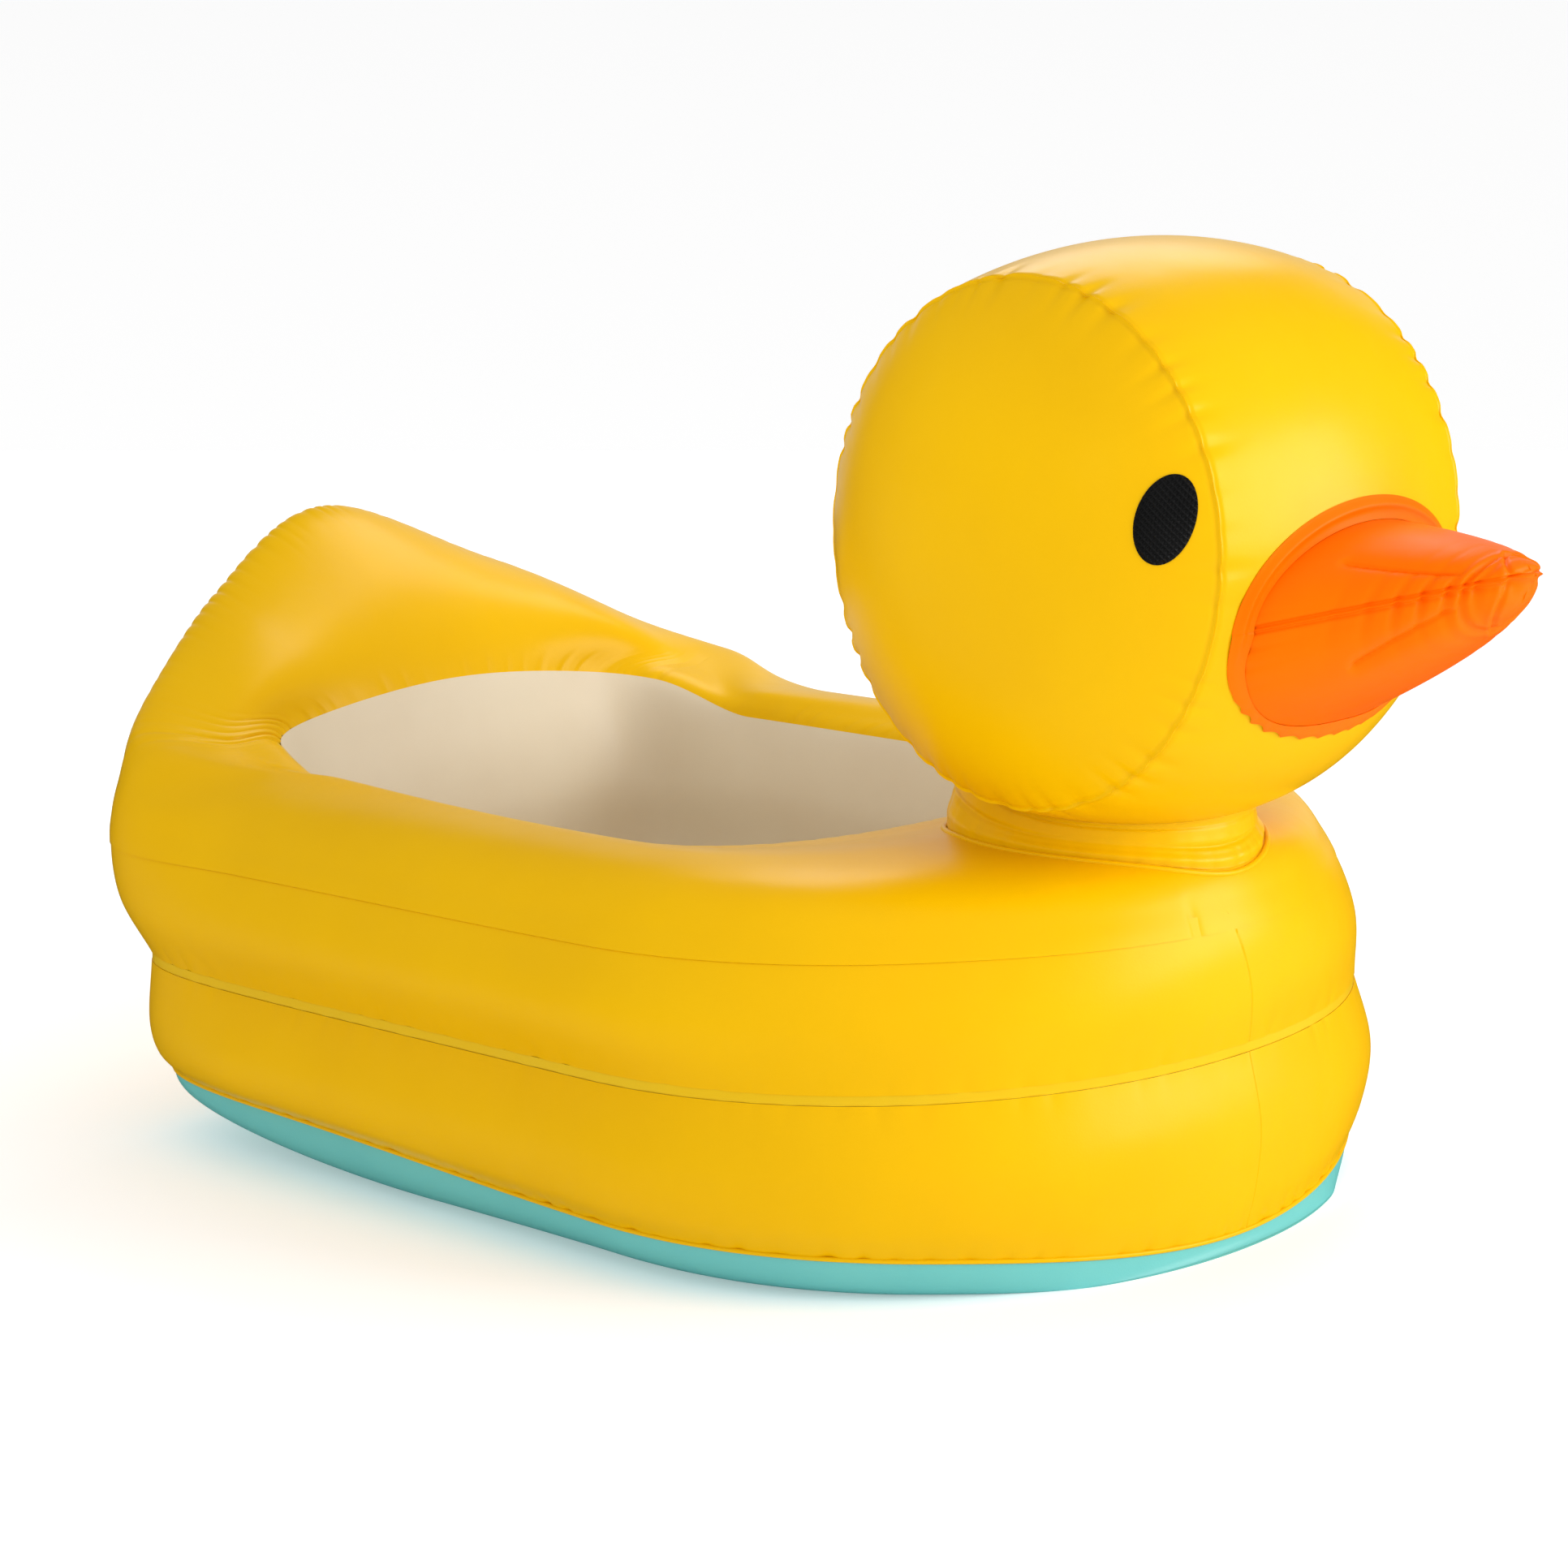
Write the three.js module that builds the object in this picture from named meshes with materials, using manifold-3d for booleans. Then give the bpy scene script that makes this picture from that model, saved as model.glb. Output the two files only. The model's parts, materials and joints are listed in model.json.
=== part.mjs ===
// Inflatable duck bath for a baby, in millimetres.
// +X points to the beak, +Y to the duck's left side and +Z up.
// The origin lies on the floor, under the middle of the overall length and width.
// The bath is built from welded vinyl sheets, so every panel is a thin closed solid
// whose outer face follows the inflated shape. Neighbouring sheets meet edge to edge
// at their weld lines, with a small gap between them.

import * as THREE from 'three';
import { mergeVertices } from 'three/addons/utils/BufferGeometryUtils.js';
import Module from 'manifold-3d';

const wasm = await Module();
wasm.setup();

// Sheets and welds
const sheetThickness = 0.5;
const seamGap = 0.3;
const skinClearance = 0.5;
const cutOverrun = 40;
const mergeDistance = 0.0001;

// Waist outline, where the upper and the lower ring are welded together
const waistMiddleX = 50;
const waistFrontReach = 222;
const waistRearReach = 385;
const waistHalfWidth = 264;
const waistHeight = 106;
const waistBandHeight = 4.6;
const waistBandDepth = 1.2;

// Basin outline, where the white liner meets the yellow rim
const basinMiddleX = -26;
const frontDeckLength = 192;
const rearWallWidth = 19;
const sideWallWidth = 96;
const basinFrontReach = waistMiddleX + waistFrontReach - frontDeckLength - basinMiddleX;
const basinRearReach = waistRearReach - waistMiddleX + basinMiddleX - rearWallWidth;
const basinHalfWidth = waistHalfWidth - sideWallWidth;
const basinRearLean = 26;

// Upper ring
const upperBulgeHeight = 142;
const upperBulgeFront = 6;
const upperBulgeBreast = -1;
const upperBulgeSide = 15;
const upperBulgeCorner = 17;
const upperBulgeRear = 32;
const topSeamHeight = 176;
const topSeamInsetFront = 0;
const topSeamInsetBreast = 15;
const topSeamInsetSide = 3;
const topSeamReachCorner = 20;
const topSeamReachRear = 44;
const crestHeightFront = 210;
const crestHeightSide = 211;
const crestHeightCorner = 222;
const crestHeightFlank = 286;
const crestInsetFront = 120;
const crestInsetSide = 66;
const crestInsetHip = 82;
const crestInsetCorner = 2;
const rimSeamHeightFront = 201;
const rimSeamHeightSide = 197;
const rimSeamHeightCorner = 215;
const rimSeamHeightRear = 232;

// Tail, a leaning peak in the middle of the rear rim
const tailHeight = 327;
const tailReach = 92;

// Lower ring and base
const lowerBulgeHeight = 66;
const lowerBulgeFront = 8;
const lowerBulgeSide = 13;
const lowerBulgeCorner = 2;
const lowerBulgeRear = 8;
const baseSeamHeightFront = 5;
const baseSeamHeightBreast = 22.5;
const baseSeamHeightSide = 30;
const baseSeamHeightHip = 39;
const baseSeamHeightRear = 43;
const baseSeamInsetFront = 0;
const baseSeamInsetSide = 6;
const baseSeamInsetRear = 13;
const baseSeamBeadRadius = 1.3;
const baseFootInsetFront = 9;
const baseFootInsetBreast = 15;
const baseFootInsetSide = 44;
const baseFootInsetRear = 26;
const flatRearX = -86;
const baseRearLift = 28;

// Inner wall and floor
const linerBulge = 9;
const linerUpperBulgeHeight = 155;
const linerLowerBulgeHeight = 52;
const linerWaistBulge = 3;
const linerUpperLeanShare = 0.33;
const linerWaistLeanShare = 0.5;
const floorHeight = 1.3;
const dividerGap = 2;

// Neck
const neckSetback = 94;
const neckMiddleX = waistMiddleX + waistFrontReach - neckSetback;
const neckRadius = 78;
const neckFlare = 3;
const neckBeadRadius = 1.6;

// Head: two domed side panels on a centre strip
const headForward = 23;
const headRise = 13;
const headSeamRadiusX = 121;
const headSeamRadiusZ = 133;
const headSeamY = 105;
const headStripBulge = 14;
const headChinBulge = 12;
const headChinDegrees = -50;
const headChinSpreadDegrees = 35;
const headDome = 50;
const headMiddleX = neckMiddleX + headForward;
const headMiddleHeight = crestHeightFront + headRise + headStripBulge + headSeamRadiusZ;

// Eyes
const eyeHalfWidth = 11.5;
const eyeHalfHeight = 21.5;
const eyeThickness = 0.5;
const eyeAlong = 100;
const eyeRise = 23;
const eyeTiltDegrees = 6;

// Beak
const beakDrop = 32;
const beakLength = 93;
const beakTipRise = 28;
const beakHalfWidth = 83;
const beakUpperHeight = 46;
const beakLowerHeight = 50;
const beakMiddleHeight = headMiddleHeight - beakDrop;
const beakTipX = headMiddleX + headSeamRadiusX + headStripBulge + beakLength;
const beakTipHeight = beakMiddleHeight + beakTipRise;
const beakFlangeWidth = 12;
const beakFlangeThickness = 0.9;

// Air valve: seat, sliding stem, check flap and hinged cap
const valveFlangeRadius = 12;
const valveFlangeLift = 0.9;
const valveFlangeThickness = 0.9;
const valveCollarRadius = 6.8;
const valveCollarProud = 3.3;
const valveCollarDepth = 0.6;
const valveStemRadius = 5.2;
const valveTravel = 12;
const valveRimThickness = 1;
const valveBoreRadius = 4.2;
const valveClearance = 0.4;
const valveLipThickness = 1.6;
const valveGuideDepth = 9;
const valveWall = 1;
const valveFlapThickness = 0.6;
const valveFlapRadius = 4.8;
const plugTopRadius = 3.8;
const plugTipRadius = 2.6;
const plugLength = 6;
const capRadius = 5.8;
const capThickness = 1.5;
const tetherWidth = 4;
const tetherThickness = 1.1;
const hingeReach = 9.9;
const hingeSlack = 0.5;

// Places of the valves, as shares of the way round the rings and round the head
const upperValveShare = 0.45;
const lowerValveShare = 0.55;
const headValveShare = 0.545;

// Shape shares and counts
const waistFrontSquareShare = 0.524;
const waistRearSquareShare = 0.884;
const basinFrontSquareShare = 0.565;
const basinRearSquareShare = 0.875;
const stationCount = 48;
const outlineSteps = 720;
const bisectionCount = 24;
const normalStepShare = 0.004;
const topRowCount = 8;
const sideRowCount = 5;
const linerRowCount = 5;
const baseRowCount = 3;
const headColumns = 32;
const headRowCount = 5;
const neckColumns = 32;
const neckRowCount = 3;
const eyeColumns = 16;
const beakColumns = 12;
const beadSides = 5;
const valveColumns = 14;

// Arc shares from the front (0) over the side to the rear (1)
const frontShare = 0;
const breastShare = 0.2;
const sideShare = 0.42;
const hipShare = 0.64;
const cornerShare = 0.75;
const flankShare = 0.89;
const rearShare = 1;

const yellow = new THREE.Color(0xf6c400);
const white = new THREE.Color(0xf1ece2);
const aqua = new THREE.Color(0x86d6d9);
const orange = new THREE.Color(0xff7410);
const black = new THREE.Color(0x121212);
const weldYellow = new THREE.Color(0xd9c63a);
const clearVinyl = new THREE.Color(0xe9e6da);

const vinylRoughness = 0.42;

const bath = new THREE.Group();

// Adds one named piece with its own vinyl material.
function addPiece(name, geometry, colour, parent = bath, roughness = vinylRoughness) {
  const material = new THREE.MeshStandardMaterial({ color: colour, roughness, metalness: 0 });
  const mesh = new THREE.Mesh(geometry, material);
  mesh.name = name;
  parent.add(mesh);
  return mesh;
}

// Turns vertices and triangles into a geometry whose faces point outwards.
function solidGeometry(vertices, triangles) {
  let volume = 0;
  for (const [a, b, c] of triangles) {
    volume += vertices[a].dot(vertices[b].clone().cross(vertices[c]));
  }
  const geometry = new THREE.BufferGeometry();
  const positions = new Float32Array(vertices.flatMap((v) => v.toArray()));
  const indices = triangles.flatMap(([a, b, c]) => (volume < 0 ? [a, c, b] : [a, b, c]));
  geometry.setAttribute('position', new THREE.BufferAttribute(positions, 3));
  geometry.setIndex(indices);
  return geometry;
}

// A closed sheet from a grid of rows. Each row is a loop of points on the outer face,
// or an open run where wrap is false. A pole closes the last row in one point, and its
// normal may be given. Slopes, where given, are the directions across the first rows, so
// that sheets meet square.
function sheetSolid(rows, thickness, { wrap = true, pole = null, poleNormal = null,
  flip = false, slopes = null } = {}) {
  const rowCount = rows.length;
  const columnCount = rows[0].length;
  const columnAt = (j) => {
    if (wrap) return (j + columnCount) % columnCount;
    return Math.min(Math.max(j, 0), columnCount - 1);
  };
  const side = flip ? -1 : 1;
  const normals = rows.map((row, i) => row.map((point, j) => {
    const along = row[columnAt(j + 1)].clone().sub(row[columnAt(j - 1)]);
    const next = i + 1 < rowCount ? rows[i + 1][j] : (pole ?? point);
    const before = i > 0 ? rows[i - 1][j] : point;
    const across = slopes?.[i] ? slopes[i][j] : next.clone().sub(before);
    return along.cross(across).normalize().multiplyScalar(side);
  }));
  const vertices = [];
  const layer = (distance) => rows.map((row, i) => row.map((point, j) => {
    vertices.push(point.clone().addScaledVector(normals[i][j], distance));
    return vertices.length - 1;
  }));
  const outer = layer(0);
  const inner = layer(-thickness);
  const triangles = [];
  const quad = (a, b, c, d) => triangles.push([a, b, c], [a, c, d]);
  const lastColumn = wrap ? columnCount : columnCount - 1;
  for (let i = 0; i + 1 < rowCount; i += 1) {
    for (let j = 0; j < lastColumn; j += 1) {
      const k = columnAt(j + 1);
      quad(outer[i][j], outer[i][k], outer[i + 1][k], outer[i + 1][j]);
      quad(inner[i][j], inner[i + 1][j], inner[i + 1][k], inner[i][k]);
    }
  }
  for (let j = 0; j < lastColumn; j += 1) {
    const k = columnAt(j + 1);
    quad(inner[0][j], inner[0][k], outer[0][k], outer[0][j]);
    if (!pole) {
      const end = rowCount - 1;
      quad(outer[end][j], outer[end][k], inner[end][k], inner[end][j]);
    }
  }
  if (!wrap) {
    for (let i = 0; i + 1 < rowCount; i += 1) {
      const end = columnCount - 1;
      quad(outer[i][0], outer[i + 1][0], inner[i + 1][0], inner[i][0]);
      quad(outer[i + 1][end], outer[i][end], inner[i][end], inner[i + 1][end]);
    }
  }
  if (pole) {
    const end = rowCount - 1;
    const mean = normals[end].reduce((sum, normal) => sum.add(normal), new THREE.Vector3());
    const poleSide = poleNormal ?? mean.normalize();
    vertices.push(pole);
    const outerPole = vertices.length - 1;
    vertices.push(pole.clone().addScaledVector(poleSide, -thickness));
    const innerPole = vertices.length - 1;
    for (let j = 0; j < lastColumn; j += 1) {
      const k = columnAt(j + 1);
      triangles.push([outer[end][j], outer[end][k], outerPole]);
      triangles.push([inner[end][k], inner[end][j], innerPole]);
    }
    if (!wrap) {
      const last = columnCount - 1;
      quad(outer[end][0], outerPole, innerPole, inner[end][0]);
      quad(outerPole, outer[end][last], inner[end][last], innerPole);
    }
  }
  return solidGeometry(vertices, triangles);
}

// A closed tube of round section through a loop of points.
function beadSolid(loop, radius, sides = beadSides) {
  const vertices = [];
  const up = new THREE.Vector3(0, 0, 1);
  loop.forEach((point, j) => {
    const along = loop[(j + 1) % loop.length].clone().sub(loop.at(j - 1)).normalize();
    const outward = along.clone().cross(up).normalize();
    for (let k = 0; k < sides; k += 1) {
      const angle = (2 * Math.PI * k) / sides;
      const offset = outward.clone().multiplyScalar(Math.cos(angle) * radius);
      offset.addScaledVector(up, Math.sin(angle) * radius);
      vertices.push(point.clone().add(offset));
    }
  });
  const triangles = [];
  loop.forEach((_, j) => {
    const next = (j + 1) % loop.length;
    for (let k = 0; k < sides; k += 1) {
      const l = (k + 1) % sides;
      triangles.push([j * sides + k, next * sides + k, next * sides + l]);
      triangles.push([j * sides + k, next * sides + l, j * sides + l]);
    }
  });
  return solidGeometry(vertices, triangles);
}

function toManifold(geometry) {
  const plain = geometry.clone();
  plain.deleteAttribute('normal');
  plain.deleteAttribute('uv');
  const merged = mergeVertices(plain, mergeDistance);
  const vertProperties = new Float32Array(merged.attributes.position.array);
  const triVerts = new Uint32Array(merged.index.array);
  return new wasm.Manifold(new wasm.Mesh({ numProp: 3, vertProperties, triVerts }));
}

function fromManifold(solid) {
  const mesh = solid.getMesh();
  const geometry = new THREE.BufferGeometry();
  geometry.setAttribute('position', new THREE.BufferAttribute(mesh.vertProperties, 3));
  geometry.setIndex(new THREE.BufferAttribute(mesh.triVerts, 1));
  return geometry;
}

function subtract(geometry, ...cutters) {
  return fromManifold(cutters.reduce((solid, cutter) => solid.subtract(toManifold(cutter)),
    toManifold(geometry)));
}

const turns = (count) => Array.from({ length: count }, (_, i) => (2 * Math.PI * i) / count);
const steps = (count) => Array.from({ length: count + 1 }, (_, i) => i / count);

// Egg-shaped outline in plan. Each end has its own squareness share: a half gives an
// ellipse, and one gives a rectangle. Returns points at equal steps of length from the front.
function planOutline(middleX, frontReach, rearReach, halfWidth, frontShareOfSquare,
  rearShareOfSquare) {
  const dense = [];
  for (let i = 0; i <= outlineSteps; i += 1) {
    const angle = (Math.PI * i) / outlineSteps;
    const front = Math.cos(angle) >= 0;
    const reach = front ? frontReach : rearReach;
    const power = 1 / (1 - (front ? frontShareOfSquare : rearShareOfSquare));
    const cosine = Math.abs(Math.cos(angle));
    const sine = Math.abs(Math.sin(angle));
    const size = (cosine ** power + sine ** power) ** (-1 / power);
    dense.push(new THREE.Vector2(
      middleX + Math.sign(Math.cos(angle)) * reach * cosine * size,
      halfWidth * sine * size,
    ));
  }
  const half = new THREE.SplineCurve(dense);
  half.arcLengthDivisions = outlineSteps;
  return (share) => {
    const around = ((share % 1) + 1) % 1;
    const mirrored = around > 0.5;
    const along = mirrored ? 2 - 2 * around : 2 * around;
    const point = half.getPointAt(Math.min(along, 1));
    return new THREE.Vector2(point.x, mirrored ? -point.y : point.y);
  };
}

const waistOutline = planOutline(waistMiddleX, waistFrontReach, waistRearReach,
  waistHalfWidth, waistFrontSquareShare, waistRearSquareShare);
const basinOutline = planOutline(basinMiddleX, basinFrontReach, basinRearReach,
  basinHalfWidth, basinFrontSquareShare, basinRearSquareShare);
const floorOutline = planOutline(basinMiddleX, basinFrontReach, basinRearReach - basinRearLean,
  basinHalfWidth, basinFrontSquareShare, basinRearSquareShare);

// Smooth value between stops along the way from the front to the rear. It never swings
// past a stop, and it is level at both ends, so that the two sides meet smoothly.
function alongRing(share, stops) {
  const around = ((share % 1) + 1) % 1;
  const along = around > 0.5 ? 2 - 2 * around : 2 * around;
  const rise = (i) => (stops[i + 1][1] - stops[i][1]) / (stops[i + 1][0] - stops[i][0]);
  const slopeAt = (i) => {
    if (i === 0 || i === stops.length - 1) return 0;
    const before = rise(i - 1);
    const after = rise(i);
    return before * after > 0 ? (2 * before * after) / (before + after) : 0;
  };
  const last = stops.length - 1;
  const found = stops.findIndex(([place]) => place >= along);
  const next = found < 1 ? Math.min(Math.max(found, 1), last) : found;
  const [startPlace, startValue] = stops[next - 1];
  const [endPlace, endValue] = stops[next];
  const run = endPlace - startPlace;
  const part = Math.min((along - startPlace) / run, 1);
  const bend = part * part * (3 - 2 * part);
  return startValue + (endValue - startValue) * bend
    + slopeAt(next - 1) * run * part * (1 - part) * (1 - part)
    - slopeAt(next) * run * part * part * (1 - part);
}

// The direction square out of an outline.
function outwardOf(outline, share) {
  const along = outline(share + normalStepShare).sub(outline(share - normalStepShare));
  return new THREE.Vector2(along.y, -along.x).normalize();
}

// A point at a reach square out of the waist outline.
function waistPoint(share, reach, height) {
  const place = waistOutline(share).addScaledVector(outwardOf(waistOutline, share), reach);
  return new THREE.Vector3(place.x, place.y, height);
}

// A point of the basin wall, part of the way from the rim's outline to the floor's and at
// a reach square into the basin.
function basinPoint(share, leanShare, reach, height) {
  const place = basinOutline(share).lerp(floorOutline(share), leanShare);
  place.addScaledVector(outwardOf(basinOutline, share), -reach);
  return new THREE.Vector3(place.x, place.y, height);
}

const ringWidth = (share) => waistOutline(share).distanceTo(basinOutline(share));

// A point of one ring section. It leaves the waist outline square, and turns towards the
// basin's outline as the inset grows. A negative inset runs outwards.
function sectionPoint(share, inset, height) {
  const square = waistPoint(share, -inset, height);
  const part = THREE.MathUtils.smoothstep(inset / ringWidth(share), 0, 1);
  const start = waistOutline(share);
  const inward = basinOutline(share).sub(start).normalize();
  const place = start.addScaledVector(inward, inset);
  return square.lerp(new THREE.Vector3(place.x, place.y, height), part);
}

const crestHeight = (share) => alongRing(share, [
  [frontShare, crestHeightFront], [sideShare, crestHeightSide], [hipShare, crestHeightSide],
  [cornerShare, crestHeightCorner], [flankShare, crestHeightFlank],
  [rearShare, tailHeight]]);
const crestInset = (share) => alongRing(share, [
  [frontShare, crestInsetFront], [sideShare, crestInsetSide], [hipShare, crestInsetHip],
  [cornerShare, crestInsetCorner], [rearShare, -tailReach]]);
const topSeamInset = (share) => alongRing(share, [
  [frontShare, topSeamInsetFront], [breastShare, topSeamInsetBreast],
  [sideShare, topSeamInsetSide],
  [hipShare, -topSeamInsetSide], [cornerShare, -topSeamReachCorner],
  [rearShare, -topSeamReachRear]]);
const upperBulge = (share) => alongRing(share, [
  [frontShare, upperBulgeFront], [breastShare, upperBulgeBreast], [sideShare, upperBulgeSide],
  [hipShare, upperBulgeSide], [cornerShare, upperBulgeCorner], [rearShare, upperBulgeRear]]);
const rimSeamHeight = (share) => alongRing(share, [
  [frontShare, rimSeamHeightFront], [sideShare, rimSeamHeightSide],
  [hipShare, rimSeamHeightSide], [cornerShare, rimSeamHeightCorner],
  [rearShare, rimSeamHeightRear]]);
const lowerBulge = (share) => alongRing(share, [
  [frontShare, lowerBulgeFront], [sideShare, lowerBulgeSide], [hipShare, lowerBulgeSide],
  [cornerShare, lowerBulgeCorner], [rearShare, lowerBulgeRear]]);
const baseSeamHeight = (share) => alongRing(share, [
  [frontShare, baseSeamHeightFront], [breastShare, baseSeamHeightBreast],
  [sideShare, baseSeamHeightSide], [hipShare, baseSeamHeightHip],
  [rearShare, baseSeamHeightRear]]);
const baseSeamInset = (share) => alongRing(share, [
  [frontShare, baseSeamInsetFront], [sideShare, baseSeamInsetSide],
  [rearShare, baseSeamInsetRear]]);
const baseFootInset = (share) => alongRing(share, [
  [frontShare, baseFootInsetFront], [breastShare, baseFootInsetBreast],
  [sideShare, baseFootInsetSide], [rearShare, baseFootInsetRear]]);

// The underside is flat up to a line across the bath, and rises from there to the rear.
function lifted(point, height = 0) {
  const basinRearX = basinMiddleX - basinRearReach;
  const part = Math.max(0, (flatRearX - point.x) / (flatRearX - basinRearX));
  return new THREE.Vector3(point.x, point.y, baseRearLift * part ** 2 + height);
}

// How full the shoulder and the inner slope are between their ends, as shares
const shoulderInsetShares = { front: 0.15, breast: 0.22, side: 0.3, corner: 0.22 };
const shoulderHeightShares = { front: 0.85, breast: 0.66, side: 0.74 };
const tailBackShare = 0.5;
const turnInsetShare = 0.7;
const turnHeightShare = 0.42;
const innerSlopeInsetShare = 0.6;
const innerSlopeHeightShare = 0.36;

// The upper section runs from the waist over the crest and down the basin wall.
function upperSection(share) {
  const at = (inset, height) => sectionPoint(share, inset, height);
  const rise = crestHeight(share) - topSeamHeight;
  const slope = crestInset(share) - topSeamInset(share);
  const shoulder = alongRing(share, [
    [frontShare, shoulderInsetShares.front], [breastShare, shoulderInsetShares.breast],
    [sideShare, shoulderInsetShares.side], [hipShare, shoulderInsetShares.side],
    [cornerShare, shoulderInsetShares.corner], [rearShare, tailBackShare]]);
  const fullness = alongRing(share, [
    [frontShare, shoulderHeightShares.front], [breastShare, shoulderHeightShares.breast],
    [sideShare, shoulderHeightShares.side], [hipShare, shoulderHeightShares.side],
    [cornerShare, tailBackShare], [rearShare, tailBackShare]]);
  const fall = crestHeight(share) - rimSeamHeight(share);
  const innerRun = ringWidth(share) - crestInset(share);
  return [
    at(0, waistHeight + waistBandHeight / 2 + seamGap),
    at(-upperBulge(share), upperBulgeHeight),
    at(topSeamInset(share), topSeamHeight),
    at(topSeamInset(share) + slope * shoulder, topSeamHeight + rise * fullness),
    at(crestInset(share), crestHeight(share)),
    at(crestInset(share) + innerRun * innerSlopeInsetShare,
      crestHeight(share) - fall * innerSlopeHeightShare),
    basinPoint(share, 0, 0, rimSeamHeight(share)),
    basinPoint(share, linerUpperLeanShare, linerBulge, linerUpperBulgeHeight),
    basinPoint(share, linerWaistLeanShare, linerWaistBulge, waistHeight),
    basinPoint(share, 1, linerBulge, linerLowerBulgeHeight),
    lifted(basinPoint(share, 1, 0, 0), floorHeight + sheetThickness),
  ];
}
const bulgeKnot = 1;
const topSeamKnot = 2;
const rimSeamKnot = 6;
const floorKnot = 10;

// The lower section runs from the base seam up to the waist.
function lowerSection(share) {
  const at = (inset, height) => waistPoint(share, -inset, height);
  const seamHeight = baseSeamHeight(share);
  return [
    at(baseSeamInset(share), seamHeight),
    at(THREE.MathUtils.lerp(baseSeamInset(share), -lowerBulge(share), turnInsetShare),
      THREE.MathUtils.lerp(seamHeight, lowerBulgeHeight, turnHeightShare)),
    at(-lowerBulge(share), lowerBulgeHeight),
    at(0, waistHeight - waistBandHeight / 2 - seamGap),
  ];
}
const lowerBulgeKnot = 2;
const lowerWaistKnot = 3;

// The base section curls from the base seam down to the foot on the floor.
function baseSection(share) {
  const at = (inset, height) => waistPoint(share, -inset, height);
  const seamHeight = baseSeamHeight(share);
  const run = baseFootInset(share) - baseSeamInset(share);
  const footHeight = lifted(at(baseFootInset(share), 0)).z;
  return steps(baseRowCount).map((part) => {
    const angle = (part * Math.PI) / 2;
    const height = THREE.MathUtils.lerp(seamHeight, footHeight, Math.sin(angle));
    return at(baseSeamInset(share) + run * (1 - Math.cos(angle)), height);
  });
}

const shares = Array.from({ length: stationCount }, (_, i) => i / stationCount);
const sectionCurve = (section, share) => new THREE.CatmullRomCurve3(section(share));

// The place on a section curve at a distance from one of its knots, forwards or backwards.
function placeNear(curve, knot, distance, direction) {
  const last = curve.points.length - 1;
  let near = 0;
  let far = 1;
  for (let i = 0; i < bisectionCount; i += 1) {
    const middle = (near + far) / 2;
    const point = curve.getPoint((knot + direction * middle) / last);
    if (point.distanceTo(curve.points[knot]) < distance) near = middle;
    else far = middle;
  }
  return (knot + direction * near) / last;
}

// Rows of points between two knots of a section, drawn back from both edges, with the
// slope of the section at each point.
function ringPanel(section, startKnot, endKnot, rowCount, startGap, endGap) {
  const curves = shares.map((share) => sectionCurve(section, share));
  const starts = curves.map((curve) => placeNear(curve, startKnot, startGap, 1));
  const ends = curves.map((curve) => placeNear(curve, endKnot, endGap, -1));
  const places = steps(rowCount).map((part) => (
    starts.map((start, j) => THREE.MathUtils.lerp(start, ends[j], part))));
  return {
    rows: places.map((row) => row.map((place, j) => curves[j].getPoint(place))),
    slopes: places.map((row) => row.map((place, j) => curves[j].getTangent(place))),
  };
}

// Rings
const beadGap = baseSeamBeadRadius + seamGap;
const topPanel = ringPanel(upperSection, topSeamKnot, rimSeamKnot, topRowCount,
  seamGap / 2, seamGap / 2);
const upperSidePanel = ringPanel(upperSection, 0, topSeamKnot, sideRowCount, 0, seamGap / 2);
const liner = ringPanel(upperSection, rimSeamKnot, floorKnot, linerRowCount, seamGap / 2, 0);
const lowerSidePanel = ringPanel(lowerSection, 0, lowerWaistKnot, sideRowCount, beadGap, 0);
const basePanel = ringPanel(baseSection, 0, baseRowCount, baseRowCount, beadGap, 0);
const panelSolid = ({ rows, slopes }, options = {}) => (
  sheetSolid(rows, sheetThickness, { slopes, ...options }));

// Rings of points round the whole bath, at a reach from the waist or from the basin wall.
const waistLoop = (reach, height) => shares.map((share) => waistPoint(share, reach, height));
const basinLoop = (leanShare, reach, height) => shares.map((share) => (
  basinPoint(share, leanShare, reach, height)));

// Rings across the floor, each drawn in from the foot of the basin wall.
const floorRowShares = [1, 0.6];
const floorMiddle = new THREE.Vector3(basinMiddleX, 0, 0);
const floorRows = (height) => floorRowShares.map((reach) => (
  basinLoop(1, seamGap, 0).map((point) => (
    lifted(point.lerpVectors(floorMiddle, point, reach), height)))));

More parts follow.
